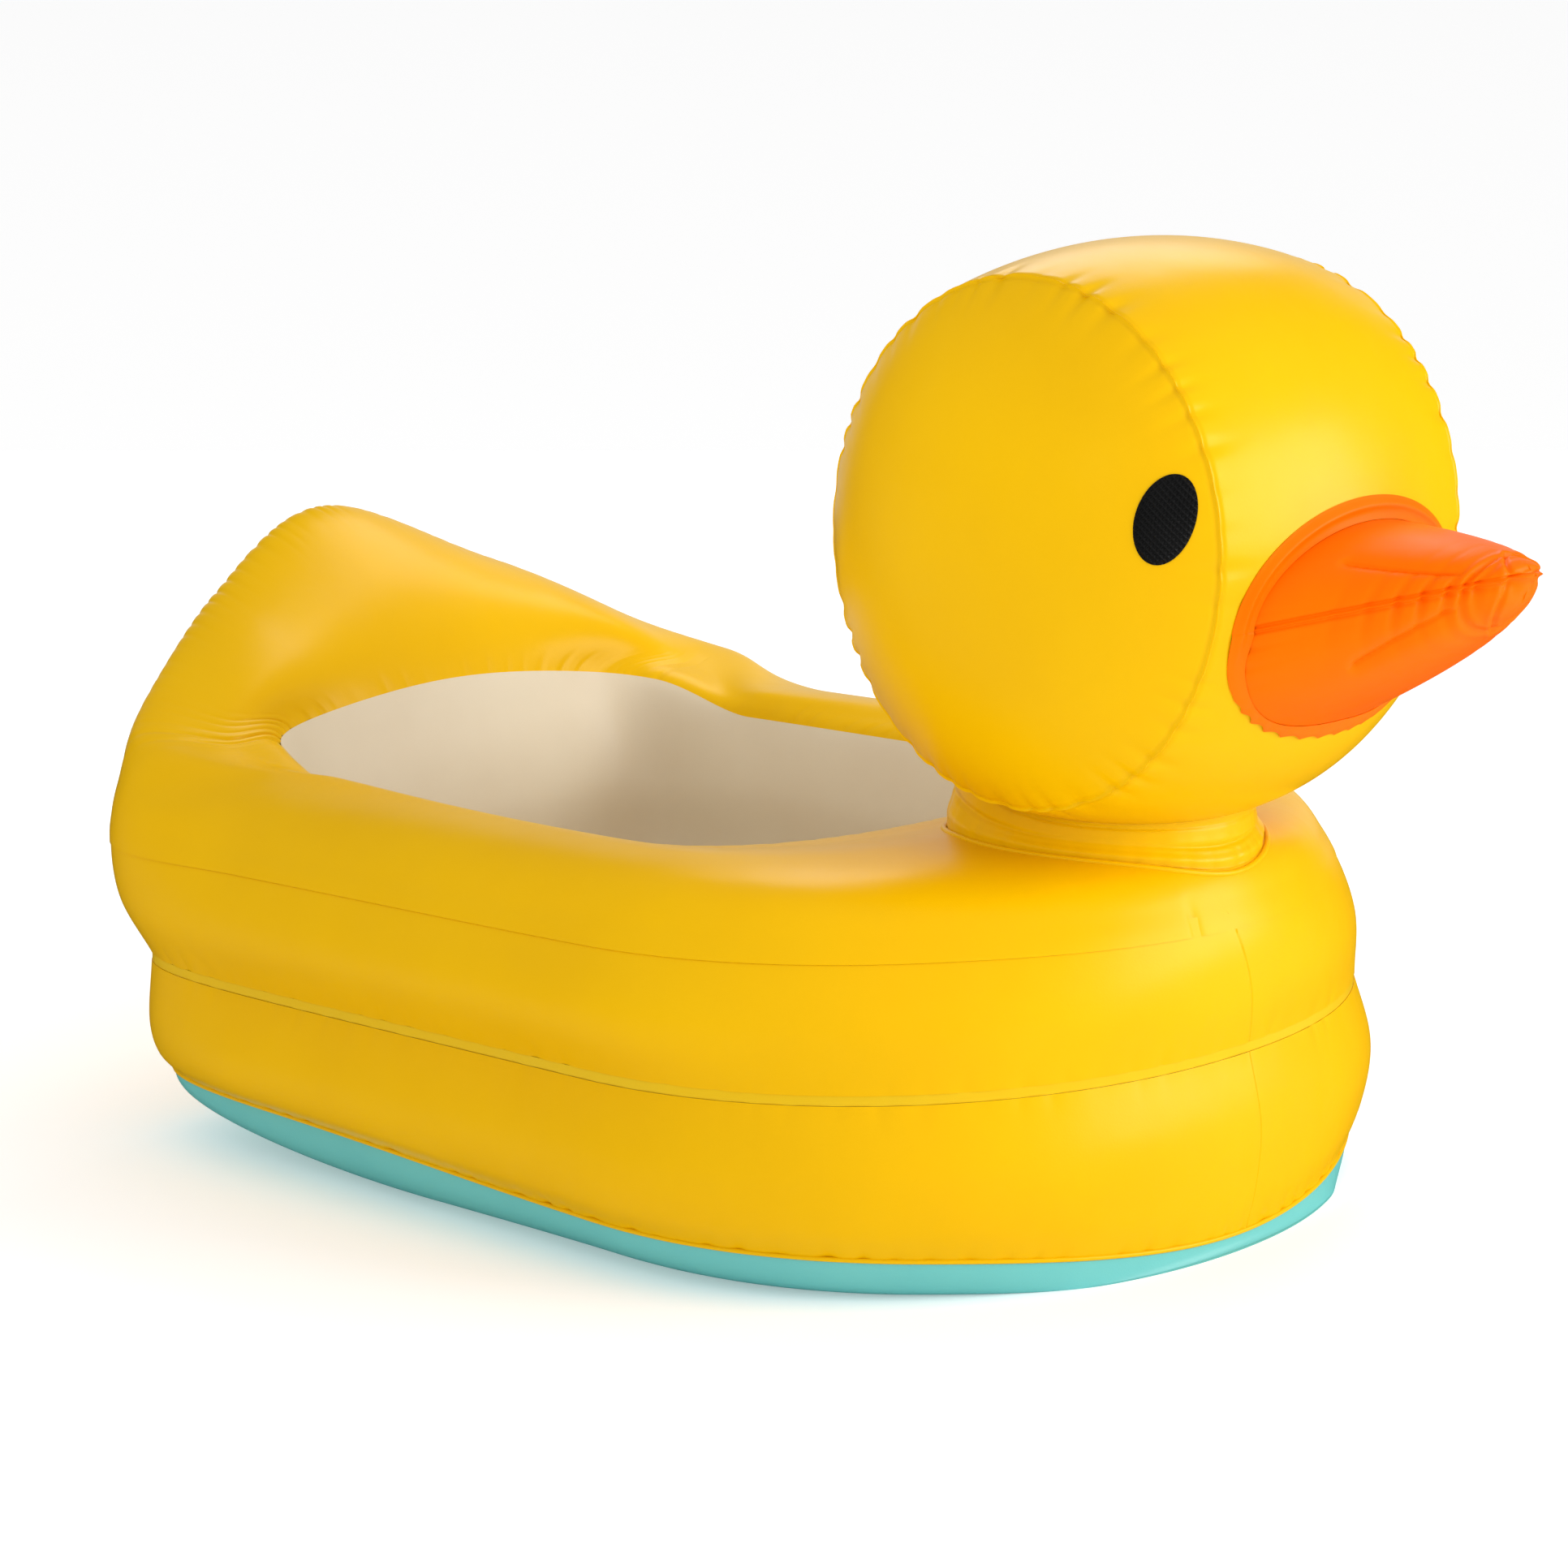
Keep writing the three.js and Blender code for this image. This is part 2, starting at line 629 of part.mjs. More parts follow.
function ringPieces() {
  const upperSide = subtract(panelSolid(upperSidePanel), valveHole(upperValveFrame));
  const lowerSide = subtract(panelSolid(lowerSidePanel), valveHole(lowerValveFrame));
  const bandTop = waistHeight + waistBandHeight / 2;
  const bandBottom = waistHeight - waistBandHeight / 2;
  const band = sheetSolid([waistLoop(0, bandBottom), waistLoop(0, bandTop)], waistBandDepth);
  const bead = beadSolid(shares.map((share) => (
    waistPoint(share, -baseSeamInset(share), baseSeamHeight(share)))), baseSeamBeadRadius);
  const dividerReach = linerWaistBulge - sheetThickness - dividerGap;
  const divider = sheetSolid([waistLoop(-waistBandDepth - seamGap, waistHeight),
    basinLoop(linerWaistLeanShare, dividerReach, waistHeight)], sheetThickness);
  const base = sheetSolid([...basePanel.rows, ...floorRows(0)], sheetThickness,
    { pole: lifted(floorMiddle), flip: true, slopes: basePanel.slopes.slice(0, -1) });
  const floor = sheetSolid(floorRows(floorHeight), sheetThickness,
    { pole: lifted(floorMiddle, floorHeight) });
  addPiece('upper_ring_top_panel', panelSolid(topPanel), yellow);
  addPiece('upper_ring_side_panel', upperSide, yellow);
  addPiece('waist_weld_band', band, weldYellow);
  addPiece('ring_divider_sheet', divider, clearVinyl);
  addPiece('lower_ring_side_panel', lowerSide, yellow);
  addPiece('base_seam_bead', bead, yellow);
  addPiece('base_sheet', base, aqua);
  addPiece('basin_liner', panelSolid(liner), white);
  addPiece('basin_floor_sheet', floor, white);
}

// Height of a faceted sheet over a place, both seen in a local frame.
function heightOver(rows, frame = new THREE.Matrix4()) {
  const inverse = frame.clone().invert();
  const local = rows.map((row) => row.map((point) => point.clone().applyMatrix4(inverse)));
  const columnCount = rows[0].length;
  return (x, y) => {
    let height = -Infinity;
    for (let i = 0; i + 1 < local.length; i += 1) {
      for (let j = 0; j < columnCount; j += 1) {
        const k = (j + 1) % columnCount;
        const corners = [local[i][j], local[i][k], local[i + 1][k], local[i + 1][j]];
        for (const [a, b, c] of [[0, 1, 2], [0, 2, 3]]) {
          height = Math.max(height, facetHeight(corners[a], corners[b], corners[c], x, y));
        }
      }
    }
    return height;
  };
}

const edgeSlackShare = 1e-6;
function facetHeight(a, b, c, x, y) {
  const area = (b.x - a.x) * (c.y - a.y) - (c.x - a.x) * (b.y - a.y);
  if (area === 0) return -Infinity;
  const second = ((x - a.x) * (c.y - a.y) - (c.x - a.x) * (y - a.y)) / area;
  const third = ((b.x - a.x) * (y - a.y) - (x - a.x) * (b.y - a.y)) / area;
  if (Math.min(second, third, 1 - second - third) < -edgeSlackShare) return -Infinity;
  return a.z + (b.z - a.z) * second + (c.z - a.z) * third;
}

const deckHeight = heightOver(topPanel.rows);

// Head. The strip bulges between its two seams, which are alike ovals, and most at the chin.
const headChinAngle = THREE.MathUtils.degToRad(headChinDegrees);
const headChinSpread = THREE.MathUtils.degToRad(headChinSpreadDegrees);
function stripPoint(angle, y, lift = 0) {
  const turn = angle - headChinAngle;
  const fromChin = Math.atan2(Math.sin(turn), Math.cos(turn)) / headChinSpread;
  const fullness = headStripBulge + headChinBulge * Math.exp(-(fromChin ** 2));
  const bulge = fullness * (1 - (y / headSeamY) ** 2) + lift;
  return new THREE.Vector3(
    headMiddleX + (headSeamRadiusX + bulge) * Math.cos(angle),
    y,
    headMiddleHeight + (headSeamRadiusZ + bulge) * Math.sin(angle),
  );
}

// The point of the strip that has a given value, where the value grows with the angle.
function stripPointWhere(valueOf, value, y, lowest, lift = 0) {
  let low = lowest;
  let high = lowest + Math.PI;
  for (let i = 0; i < bisectionCount; i += 1) {
    const middle = (low + high) / 2;
    if (valueOf(stripPoint(middle, y, lift)) < value) low = middle;
    else high = middle;
  }
  return stripPoint(low, y, lift);
}
const headUnderside = (x, y) => stripPointWhere((point) => point.x, x, y, -Math.PI).z;

// A side panel is a dome, a little fuller towards its seam.
const domeFullnessShare = 0.34;
const domeRowShares = [0.88, 0.7, 0.48, 0.24];
function domePoint(side, reach, angle, lift = 0) {
  const height = headDome * (1 - reach ** 2) * (1 + domeFullnessShare * reach ** 2);
  return new THREE.Vector3(
    headMiddleX + headSeamRadiusX * reach * Math.cos(angle),
    side * (headSeamY + height + lift),
    headMiddleHeight + headSeamRadiusZ * reach * Math.sin(angle),
  );
}

const stripEdge = headSeamY - seamGap / 2;
const stripRows = steps(headRowCount).map((part) => (
  turns(headColumns).map((angle) => stripPoint(angle, stripEdge * (2 * part - 1)))));

function headPieces() {
  const edgeShare = 1 - seamGap / headSeamRadiusX;
  for (const [name, side] of [['head_right_panel', -1], ['head_left_panel', 1]]) {
    const rows = [edgeShare, ...domeRowShares].map((reach) => (
      turns(headColumns).map((angle) => domePoint(side, reach, -side * angle))));
    const pole = domePoint(side, 0, 0);
    addPiece(name, sheetSolid(rows, sheetThickness, { pole }), yellow);
  }
  const strip = sheetSolid(stripRows, sheetThickness, { flip: true });
  const bore = new THREE.CylinderGeometry(neckRadius + seamGap, neckRadius + seamGap,
    headSeamRadiusZ, neckColumns);
  bore.rotateX(Math.PI / 2);
  bore.translate(neckMiddleX, 0, headMiddleHeight - headSeamRadiusZ);
  addPiece('head_centre_strip', subtract(strip, bore, valveHole(headValveFrame)), yellow);
}

// Neck: a short band from the deck to the opening under the head.
const aroundNeck = (radius, angle) => new THREE.Vector2(
  neckMiddleX + radius * Math.cos(angle), radius * Math.sin(angle));

// Heights that keep a ring of straight stretches clear of the deck. The ring is as wide
// as twice the reach, and each stretch is lifted where the deck bulges under its middle.
function heightsOverDeck(radius, reach) {
  const heightAt = (angle) => Math.max(...[radius - reach, radius + reach].map((distance) => {
    const { x, y } = aroundNeck(distance, angle);
    return deckHeight(x, y);
  }));
  const halfStep = Math.PI / neckColumns;
  const angles = turns(neckColumns);
  const heights = angles.map(heightAt);
  const lifts = angles.map((angle, j) => Math.max(0, heightAt(angle + halfStep)
    - (heights[j] + heights[(j + 1) % neckColumns]) / 2));
  return heights.map((height, j) => height + Math.max(lifts[j], lifts.at(j - 1)));
}

function neckPieces() {
  const footRadius = neckRadius + neckFlare;
  const foot = heightsOverDeck(footRadius, sheetThickness);
  const rows = steps(neckRowCount).map((part) => turns(neckColumns).map((angle, j) => {
    const { x, y } = aroundNeck(neckRadius + neckFlare * (1 - part) ** 2, angle);
    const top = headUnderside(x, y) + sheetThickness;
    return new THREE.Vector3(x, y, THREE.MathUtils.lerp(foot[j] + skinClearance, top, part));
  }));
  addPiece('neck_band', sheetSolid(rows, sheetThickness), yellow);
  const beadRadius = footRadius + neckBeadRadius + seamGap;
  const beadHeights = heightsOverDeck(beadRadius, neckBeadRadius);
  const beadLoop = turns(neckColumns).map((angle, j) => {
    const { x, y } = aroundNeck(beadRadius, angle);
    return new THREE.Vector3(x, y, beadHeights[j] + neckBeadRadius + seamGap);
  });
  addPiece('neck_weld_bead', beadSolid(beadLoop, neckBeadRadius), yellow);
}

// Eyes: oval patches lying on the side panels.
const eyeRowShares = [1, 0.55];
const eyeRoughness = 0.5;
function eyePieces() {
  for (const [name, side] of [['right_eye', -1], ['left_eye', 1]]) {
    const tilt = THREE.MathUtils.degToRad(eyeTiltDegrees);
    const place = (reach, angle) => {
      const across = eyeHalfWidth * reach * Math.cos(angle);
      const up = eyeHalfHeight * reach * Math.sin(angle);
      const x = eyeAlong + across * Math.cos(tilt) + up * Math.sin(tilt);
      const z = eyeRise + up * Math.cos(tilt) - across * Math.sin(tilt);
      const share = new THREE.Vector2(x / headSeamRadiusX, z / headSeamRadiusZ);
      return domePoint(side, share.length(), share.angle(), skinClearance + eyeThickness);
    };
    const rows = eyeRowShares.map((reach) => (
      turns(eyeColumns).map((angle) => place(reach, -side * angle))));
    const patch = sheetSolid(rows, eyeThickness, { pole: place(0, 0) });
    addPiece(name, patch, black, bath, eyeRoughness);
  }
}

// Beak: an oval flange on the centre strip, and an upper and a lower sheet that taper
// to the tip, the lower one less than the upper one.
const beakWidthTaperShare = 0.6;
const beakUpperTaperShare = 0.72;
const beakLowerTaperShare = 0.5;
const beakRowShares = [0, 0.12, 0.26, 0.42, 0.58, 0.74, 0.87, 0.95, 0.99];
function beakBase(angle, spread, lift) {
  const height = Math.sin(angle) < 0 ? beakLowerHeight : beakUpperHeight;
  const y = (beakHalfWidth + spread) * Math.cos(angle);
  const z = beakMiddleHeight + (height + spread) * Math.sin(angle);
  return stripPointWhere((point) => point.z, z, y, -Math.PI / 2, lift);
}

const beakTip = new THREE.Vector3(beakTipX, 0, beakTipHeight);
function beakPoint(angle, along) {
  const base = beakBase(angle, 0, skinClearance + sheetThickness);
  const middle = new THREE.Vector3(headMiddleX + headSeamRadiusX, 0, beakMiddleHeight);
  const width = (1 - along) ** beakWidthTaperShare;
  const heightTaper = Math.sin(angle) < 0 ? beakLowerTaperShare : beakUpperTaperShare;
  const height = (1 - along) ** heightTaper;
  const out = base.sub(middle).multiply(new THREE.Vector3(width, width, height));
  return out.add(middle.clone().lerp(beakTip, along));
}

function beakPieces() {
  const poleNormal = new THREE.Vector3(1, 0, 0);
  const halves = [['beak_upper_panel', 0, seamGap], ['beak_lower_panel', Math.PI, -seamGap]];
  for (const [name, start, shift] of halves) {
    const angles = steps(beakColumns).map((part) => start + part * Math.PI);
    const rows = beakRowShares.map((along) => angles.map((angle) => {
      const point = beakPoint(angle, along);
      return point.setZ(point.z + shift);
    }));
    const pole = beakTip.clone().setZ(beakTipHeight + shift);
    addPiece(name, sheetSolid(rows, sheetThickness, { wrap: false, pole, poleNormal }), orange);
  }
  const flangeLift = skinClearance + beakFlangeThickness;
  const flangeRows = [2 * seamGap, beakFlangeWidth].map((spread) => (
    turns(2 * beakColumns).map((angle) => beakBase(angle, spread, flangeLift))));
  const flange = sheetSolid(flangeRows, beakFlangeThickness, { flip: true });
  addPiece('beak_flange', flange, orange);
}

// Air valves. Each stands square on one facet of its panel. The frame's x runs along
// the panel, y up the panel and z out of it.
function facetFrame(rows, rowShare, columnShare, flip = false) {
  const i = Math.floor(rowShare * (rows.length - 1));
  const j = Math.floor(columnShare * rows[0].length);
  const [a, b, c, d] = [rows[i][j], rows[i][j + 1], rows[i + 1][j + 1], rows[i + 1][j]];
  const along = b.clone().sub(a).add(c).sub(d).normalize();
  const up = d.clone().sub(a).add(c).sub(b);
  const out = along.clone().cross(up).normalize().multiplyScalar(flip ? -1 : 1);
  const frame = new THREE.Matrix4().makeBasis(along, out.clone().cross(along), out);
  return frame.setPosition(a.clone().lerp(c, 1 / 2));
}

const upperValveFrame = facetFrame(upperSidePanel.rows, bulgeKnot / topSeamKnot,
  upperValveShare);
const lowerValveFrame = facetFrame(lowerSidePanel.rows, lowerBulgeKnot / lowerWaistKnot,
  lowerValveShare);
const headValveFrame = facetFrame(stripRows, 1 / 2, headValveShare, true);

const pocketRadius = valveCollarRadius + valveClearance;
const guideRadius = valveStemRadius + valveClearance;
const pocketFloor = -valveCollarDepth - seamGap;
const stemEnd = -valveGuideDepth - seamGap - valveTravel - valveRimThickness;
const flangeTop = valveFlangeLift + valveFlangeThickness;
const capBottom = valveCollarProud + seamGap;

function valveHole(frame) {
  const radius = pocketRadius + valveWall + seamGap;
  const hole = new THREE.CylinderGeometry(radius, radius, cutOverrun, valveColumns);
  hole.rotateX(Math.PI / 2);
  return hole.applyMatrix4(frame);
}

// A turned piece whose axis is z, from a closed profile of radius and height.
function turned(profile) {
  const closed = [...profile, profile[0]].map(([radius, height]) => (
    new THREE.Vector2(radius, height)));
  return new THREE.LatheGeometry(closed, valveColumns).rotateX(Math.PI / 2);
}

function seatGeometry(rows, frame) {
  const lipBottom = pocketFloor - valveLipThickness;
  const seat = turned([
    [guideRadius, -valveGuideDepth], [guideRadius + valveWall, -valveGuideDepth],
    [guideRadius + valveWall, lipBottom], [pocketRadius + valveWall, lipBottom],
    [pocketRadius + valveWall, valveFlangeLift], [valveFlangeRadius, valveFlangeLift],
    [valveFlangeRadius, flangeTop], [pocketRadius, flangeTop],
    [pocketRadius, pocketFloor], [guideRadius, pocketFloor],
  ]);
  const heightAt = heightOver(rows, frame);
  const places = seat.attributes.position;
  for (let i = 0; i < places.count; i += 1) {
    const radius = Math.hypot(places.getX(i), places.getY(i));
    if (radius > pocketRadius + valveWall + seamGap) {
      places.setZ(i, places.getZ(i) + heightAt(places.getX(i), places.getY(i)));
    }
  }
  return fromManifold(toManifold(seat));
}

// A flat bar of the tether, from the wall of the stem to the hinge line.
function hingeBar(bottom, thickness) {
  const length = hingeReach - hingeSlack - valveBoreRadius - valveWall;
  const bar = new THREE.BoxGeometry(length, tetherWidth, thickness);
  bar.translate(length / 2 - hingeReach + hingeSlack, 0, bottom + thickness / 2);
  return bar;
}

function stemGeometry() {
  const stem = turned([
    [valveBoreRadius, stemEnd], [guideRadius + valveWall / 2, stemEnd],
    [guideRadius + valveWall / 2, stemEnd + valveRimThickness],
    [valveStemRadius, stemEnd + valveRimThickness],
    [valveStemRadius, -valveCollarDepth], [valveCollarRadius, -valveCollarDepth],
    [valveCollarRadius, valveCollarProud], [valveBoreRadius, valveCollarProud],
  ]);
  const tab = hingeBar(valveCollarProud - tetherThickness, tetherThickness);
  return fromManifold(toManifold(stem).add(toManifold(tab)));
}

function capGeometry() {
  const cap = turned([
    [0, capBottom - plugLength], [plugTipRadius, capBottom - plugLength],
    [plugTopRadius, capBottom], [capRadius, capBottom],
    [capRadius, capBottom + capThickness], [0, capBottom + capThickness],
  ]);
  const strap = hingeBar(capBottom, tetherThickness);
  return fromManifold(toManifold(cap).add(toManifold(strap)));
}

function flapGeometry() {
  const flap = new THREE.CylinderGeometry(valveFlapRadius, valveFlapRadius,
    valveFlapThickness, valveColumns);
  const place = stemEnd - seamGap - valveFlapThickness / 2;
  return flap.rotateX(Math.PI / 2).translate(0, 0, place);
}

function valvePieces(name, rows, frame) {
  const valve = new THREE.Group();
  valve.applyMatrix4(frame);
  bath.add(valve);
  addPiece(`${name}_valve_seat`, seatGeometry(rows, frame), clearVinyl, valve);
  addPiece(`${name}_valve_stem`, stemGeometry(), clearVinyl, valve);
  addPiece(`${name}_valve_flap`, flapGeometry(), clearVinyl, valve);
  addPiece(`${name}_valve_cap`, capGeometry(), clearVinyl, valve);
}

ringPieces();
headPieces();
neckPieces();
eyePieces();
beakPieces();
valvePieces('upper_ring', upperSidePanel.rows, upperValveFrame);
valvePieces('lower_ring', lowerSidePanel.rows, lowerValveFrame);
valvePieces('head', stripRows, headValveFrame);

export default bath;
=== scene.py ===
# Looks of an inflatable duck bath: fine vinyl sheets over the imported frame, in metres.

import json
from math import cos, pi, radians, sin, sqrt

import bpy
import numpy as np
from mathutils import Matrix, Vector
from mathutils.bvhtree import BVHTree


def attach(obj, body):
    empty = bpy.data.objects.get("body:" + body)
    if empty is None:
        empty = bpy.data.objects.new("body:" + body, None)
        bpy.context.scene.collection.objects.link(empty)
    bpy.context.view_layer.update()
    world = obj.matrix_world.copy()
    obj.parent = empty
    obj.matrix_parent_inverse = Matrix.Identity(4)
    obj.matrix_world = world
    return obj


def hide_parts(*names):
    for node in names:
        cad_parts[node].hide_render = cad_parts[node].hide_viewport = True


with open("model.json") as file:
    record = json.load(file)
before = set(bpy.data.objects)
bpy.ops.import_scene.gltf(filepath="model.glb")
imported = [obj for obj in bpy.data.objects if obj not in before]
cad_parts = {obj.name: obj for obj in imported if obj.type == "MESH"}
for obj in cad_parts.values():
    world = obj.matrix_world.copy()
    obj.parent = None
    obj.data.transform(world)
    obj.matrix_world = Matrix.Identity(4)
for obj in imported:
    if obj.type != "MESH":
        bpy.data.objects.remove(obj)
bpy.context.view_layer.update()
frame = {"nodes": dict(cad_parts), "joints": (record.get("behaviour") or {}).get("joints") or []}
scene = bpy.context.scene

# Sheets and welds
SHEET = 0.0005
SEAM_GAP = 0.0003
SKIN = 0.0005
LAP_WIDTH = 0.005
LAP_LIFT = 0.0006
LAP_FADE = 0.012
OVERLAP_LIFT = 0.0005
OVERLAP_STEP = 0.0004
OVERLAP_FADE = 0.018
OVERLAP_SLANT = 0.0044
SEAM_RIDGE = 0.0006
SHARP_ANGLE = radians(50)

# Grooves along seams: distance from the seam, depth and width
OVERLAP_GROOVE = (2 * OVERLAP_STEP, OVERLAP_LIFT, OVERLAP_STEP)
HEAD_RIDGE = (0, SEAM_RIDGE, SEAM_RIDGE)
HEAD_GROOVE = (2.5 * SEAM_RIDGE, SEAM_RIDGE, 2 * SEAM_RIDGE)
BEAK_GROOVE = (2.4 * SEAM_RIDGE, 1.5 * SEAM_RIDGE, 1.6 * SEAM_RIDGE)
DIMPLE_GROOVES = ((0, 0.0018, 0.0055), (0, 0.0012, 0.0012))

# Folds square to a seam
FOLD_SHARPNESS = 2.5
FOLD_FADE = 1.4
FOLD_DRIFT = 1.5
FOLD_STRENGTH = 0.6
FOLD_VARIATION = 0.35
FOLD_LEAST = 0.1
FOLD_MOST = 1.2

# Sets of folds: count round the loop, depth, reach from the seam, seed
RIM_FOLDS = (80, 0.0009, 0.010, 21)
CREST_FOLDS = (190, 0.0014, 0.015, 61)
CORNER_FOLDS = (210, 0.0028, 0.055, 71)
UPPER_WAIST_FOLDS = (90, 0.0006, 0.008, 11)
LOWER_WAIST_FOLDS = (90, 0.0006, 0.008, 31)
BASE_FOLDS = (110, 0.0012, 0.007, 41)
HEAD_FOLDS = (46, 0.0019, 0.011, 51)
NECK_FOLDS = (34, 0.0007, 0.012, 81)

# Folds of the top panel at one place: its arc share and spread. A pleat is on one side only
CREST_FOLDS_AT = (0.93, 0.09)
CORNER_FOLDS_AT = (0.775, 0.024)
FAR_CORNER_PART = 0.12
PLEAT_AT = (0.978, 0.0016)
PLEAT_DEPTH = 0.0012
PLEAT_REACH = 0.02

# Outlines in plan: middle in x, reach to the front and the rear, half width, and how square
# the front and the rear are (0.5 for an ellipse, towards 1 for a rectangle)
BASIN_MIDDLE_X = -0.026
BASIN_REAR_REACH = 0.290
BASIN_REAR_LEAN = 0.026
FLOOR_REAR_REACH = BASIN_REAR_REACH - BASIN_REAR_LEAN
WAIST_OUTLINE = (0.050, 0.222, 0.385, 0.264, 0.524, 0.884)
BASIN_OUTLINE = (BASIN_MIDDLE_X, 0.106, BASIN_REAR_REACH, 0.168, 0.565, 0.875)
FLOOR_OUTLINE = (BASIN_MIDDLE_X, 0.106, FLOOR_REAR_REACH, 0.168, 0.565, 0.875)

# Heights and shares of the ring sections
WAIST_HEIGHT = 0.106
BAND_HEIGHT = 0.0046
BAND_TOP = WAIST_HEIGHT + BAND_HEIGHT / 2 + SEAM_GAP
BAND_BOTTOM = WAIST_HEIGHT - BAND_HEIGHT / 2 - SEAM_GAP
UPPER_BULGE_HEIGHT = 0.142
TOP_SEAM_HEIGHT = 0.176
INNER_SLOPE_RUN = 0.6
INNER_SLOPE_FALL = 0.36
LOWER_BULGE_HEIGHT = 0.066
LOWER_FOOT_REACH = 0.7
LOWER_FOOT_RISE = 0.42
LINER_BULGE = 0.009
LINER_UPPER_LEAN = 0.33
LINER_UPPER_BULGE_HEIGHT = 0.155
LINER_WAIST_LEAN = 0.5
LINER_WAIST_BULGE = 0.003
LINER_LOWER_BULGE_HEIGHT = 0.052
FLOOR_HEIGHT = 0.0013
FLAT_REAR_X = -0.086
BASE_REAR_LIFT = 0.028
BASE_BEAD_RADIUS = 0.0013
TOP_SEAM_KNOT, CREST_KNOT, RIM_SEAM_KNOT, FLOOR_KNOT = 2, 4, 6, 10
LOWER_WAIST_KNOT = 3

# Head
HEAD_MIDDLE = np.array([0.201, 0.0, 0.370])
HEAD_RADIUS_X = 0.121
HEAD_RADIUS_Z = 0.133
HEAD_SEAM_Y = 0.105
HEAD_STRIP_BULGE = 0.014
CHIN_BULGE = 0.012
CHIN_ANGLE = radians(-50)
CHIN_SPREAD = radians(35)
HEAD_DOME = 0.050
DOME_FULLNESS = 0.34
DOME_ARC = 1.45

# Neck: its rolls stand at places from the foot (0) to the head (1), with a spread
NECK_MIDDLE_X = 0.178
NECK_RADIUS = 0.078
NECK_FLARE = 0.005
NECK_ROLL = 0.0014
NECK_ROLL_AT = (0.16, 0.1)
NECK_PINCH_AT = (0.42, 0.06)
NECK_COLLAR_AT = (0.86, 0.06)
CREASE_ANGLE = radians(-115)
CREASE_SPREAD = radians(30)
CREASE_LEAST = 0.15
NECK_FOLD_RUN = 0.02
NECK_BEAD_RADIUS = 0.0016
RAY_HEIGHT = 1.0

# Eyes
EYE_HALF_WIDTH = 0.0115
EYE_HALF_HEIGHT = 0.0215
EYE_THICKNESS = 0.0005
EYE_ALONG = 0.100
EYE_RISE = 0.023
EYE_TILT = radians(6)
EYE_RINGS = (1.0, 0.97, 0.9, 0.75, 0.55, 0.35, 0.15)
EYE_EDGE = 1.02
EYE_EDGE_WIDTH = 0.12

# Beak
BEAK_TIP = np.array([0.429, 0.0, 0.366])
BEAK_MIDDLE_HEIGHT = 0.338
BEAK_HALF_WIDTH = 0.083
BEAK_UPPER_HEIGHT = 0.046
BEAK_LOWER_HEIGHT = 0.050
BEAK_WIDTH_TAPER = 0.6
BEAK_UPPER_TAPER = 0.72
BEAK_LOWER_TAPER = 0.5
BEAK_CHEEK = 0.006
BEAK_CHEEK_ANGLE = radians(40)
BEAK_CHEEK_SPREAD = radians(25)
BEAK_LOWER_SPREAD = 0.0045
BEAK_SPREAD_GROWTH = 2.5

# Folds of the beak: its gathers, the pinch and folds of its tip, and its foot
BEAK_SEAM_RIDGE = 0.0013
GATHER_COUNT = 9
GATHER_DRIFT = 1.4
GATHER_PHASES = (0.4, 2.1)
GATHER_DRIFT_PHASES = (0, 2)
GATHER_START = 0.1
GATHER_GROWTH = 0.7
GATHER_END = 0.05
GATHER_LEAST_REACH = 0.35
BEAK_FOLD_DEPTH = 0.0034
BEAK_FOLD_REACH = 0.013
BEAK_PINCH_AT = (0.815, 0.016)
TIP_FOLD = 0.0013
TIP_FOLD_WIDTH = 0.012
TIP_FOLD_AT_SIDE = 0.954
TIP_FOLD_AT_MIDDLE = 0.804
TIP_FOLD_CURVE = 1.3
TIP_ROLL_AT = (-0.03, 0.014)
FOOT_FOLD_COUNT = 34
FOOT_FOLD_DEPTH = 0.0011
FOOT_FOLD_REACH = 0.09
FOOT_FOLDS_AT = (radians(192), 0.3)

# Welded dimples on each side of the beak: start and end, each as angle and place along
BEAK_DIMPLES = (
    ((radians(136), 0.22), (radians(148), 0.75)),
    ((radians(220), 0.40), (radians(205), 0.79)),
)
DIMPLE_END_GROWTH = 8

# Weld flange of the beak: scallops below, a roll above, and a joint at one side
FLANGE_WIDTH = 0.012
FLANGE_THICKNESS = 0.0009
FLANGE_EDGE_POWER = 4
FLANGE_SPREAD_PART = 0.4
FLANGE_SCALLOP = 0.0018
SCALLOP_COUNT = 22
SCALLOP_DRIFT = 0.6
SCALLOP_DRIFT_COUNT = 5
SCALLOP_START = 0.45
SCALLOP_GROWTH = 0.3
FLANGE_ROLL = 0.0018
FLANGE_ROLL_AT = (0.62, 0.2)
FLANGE_ROLL_START = -0.35
FLANGE_ROLL_GROWTH = 0.5
JOINT_ANGLE = radians(181)
JOINT_STEP = 0.0005
JOINT_RISE = 0.012
JOINT_FADE = 0.3

# Air valves: profiles of radius and height over the panel
HINGE_REACH = 0.0099
HINGE_HEIGHT = 0.00345
VALVE_PLACE_HEIGHT = 0.0008
VALVE_PLACE_RADIUS = 0.013
VALVE_PLACE_FADE = 0.012
POCKET_RADIUS = 0.0098
POCKET_DEPTH = 0.025
VALVE_SIDES = 64
VALVE_ROUND = 0.00015
VALVE_ROUND_FULLNESS = 0.4
STEM_TOP = 0.0033
CAP_BOTTOM = 0.0036
TETHER_WIDTH = 0.004
TETHER_THICKNESS = 0.0011
TETHER_START = -0.0094
TETHER_END = -0.0047
SEAT_PROFILE = ((0.0056, -0.009), (0.0066, -0.009), (0.0066, -0.0025), (0.0082, -0.0025),
                (0.0082, 0.0009), (0.012, 0.0009), (0.012, 0.0018), (0.0072, 0.0018),
                (0.0072, -0.0009), (0.0056, -0.0009))
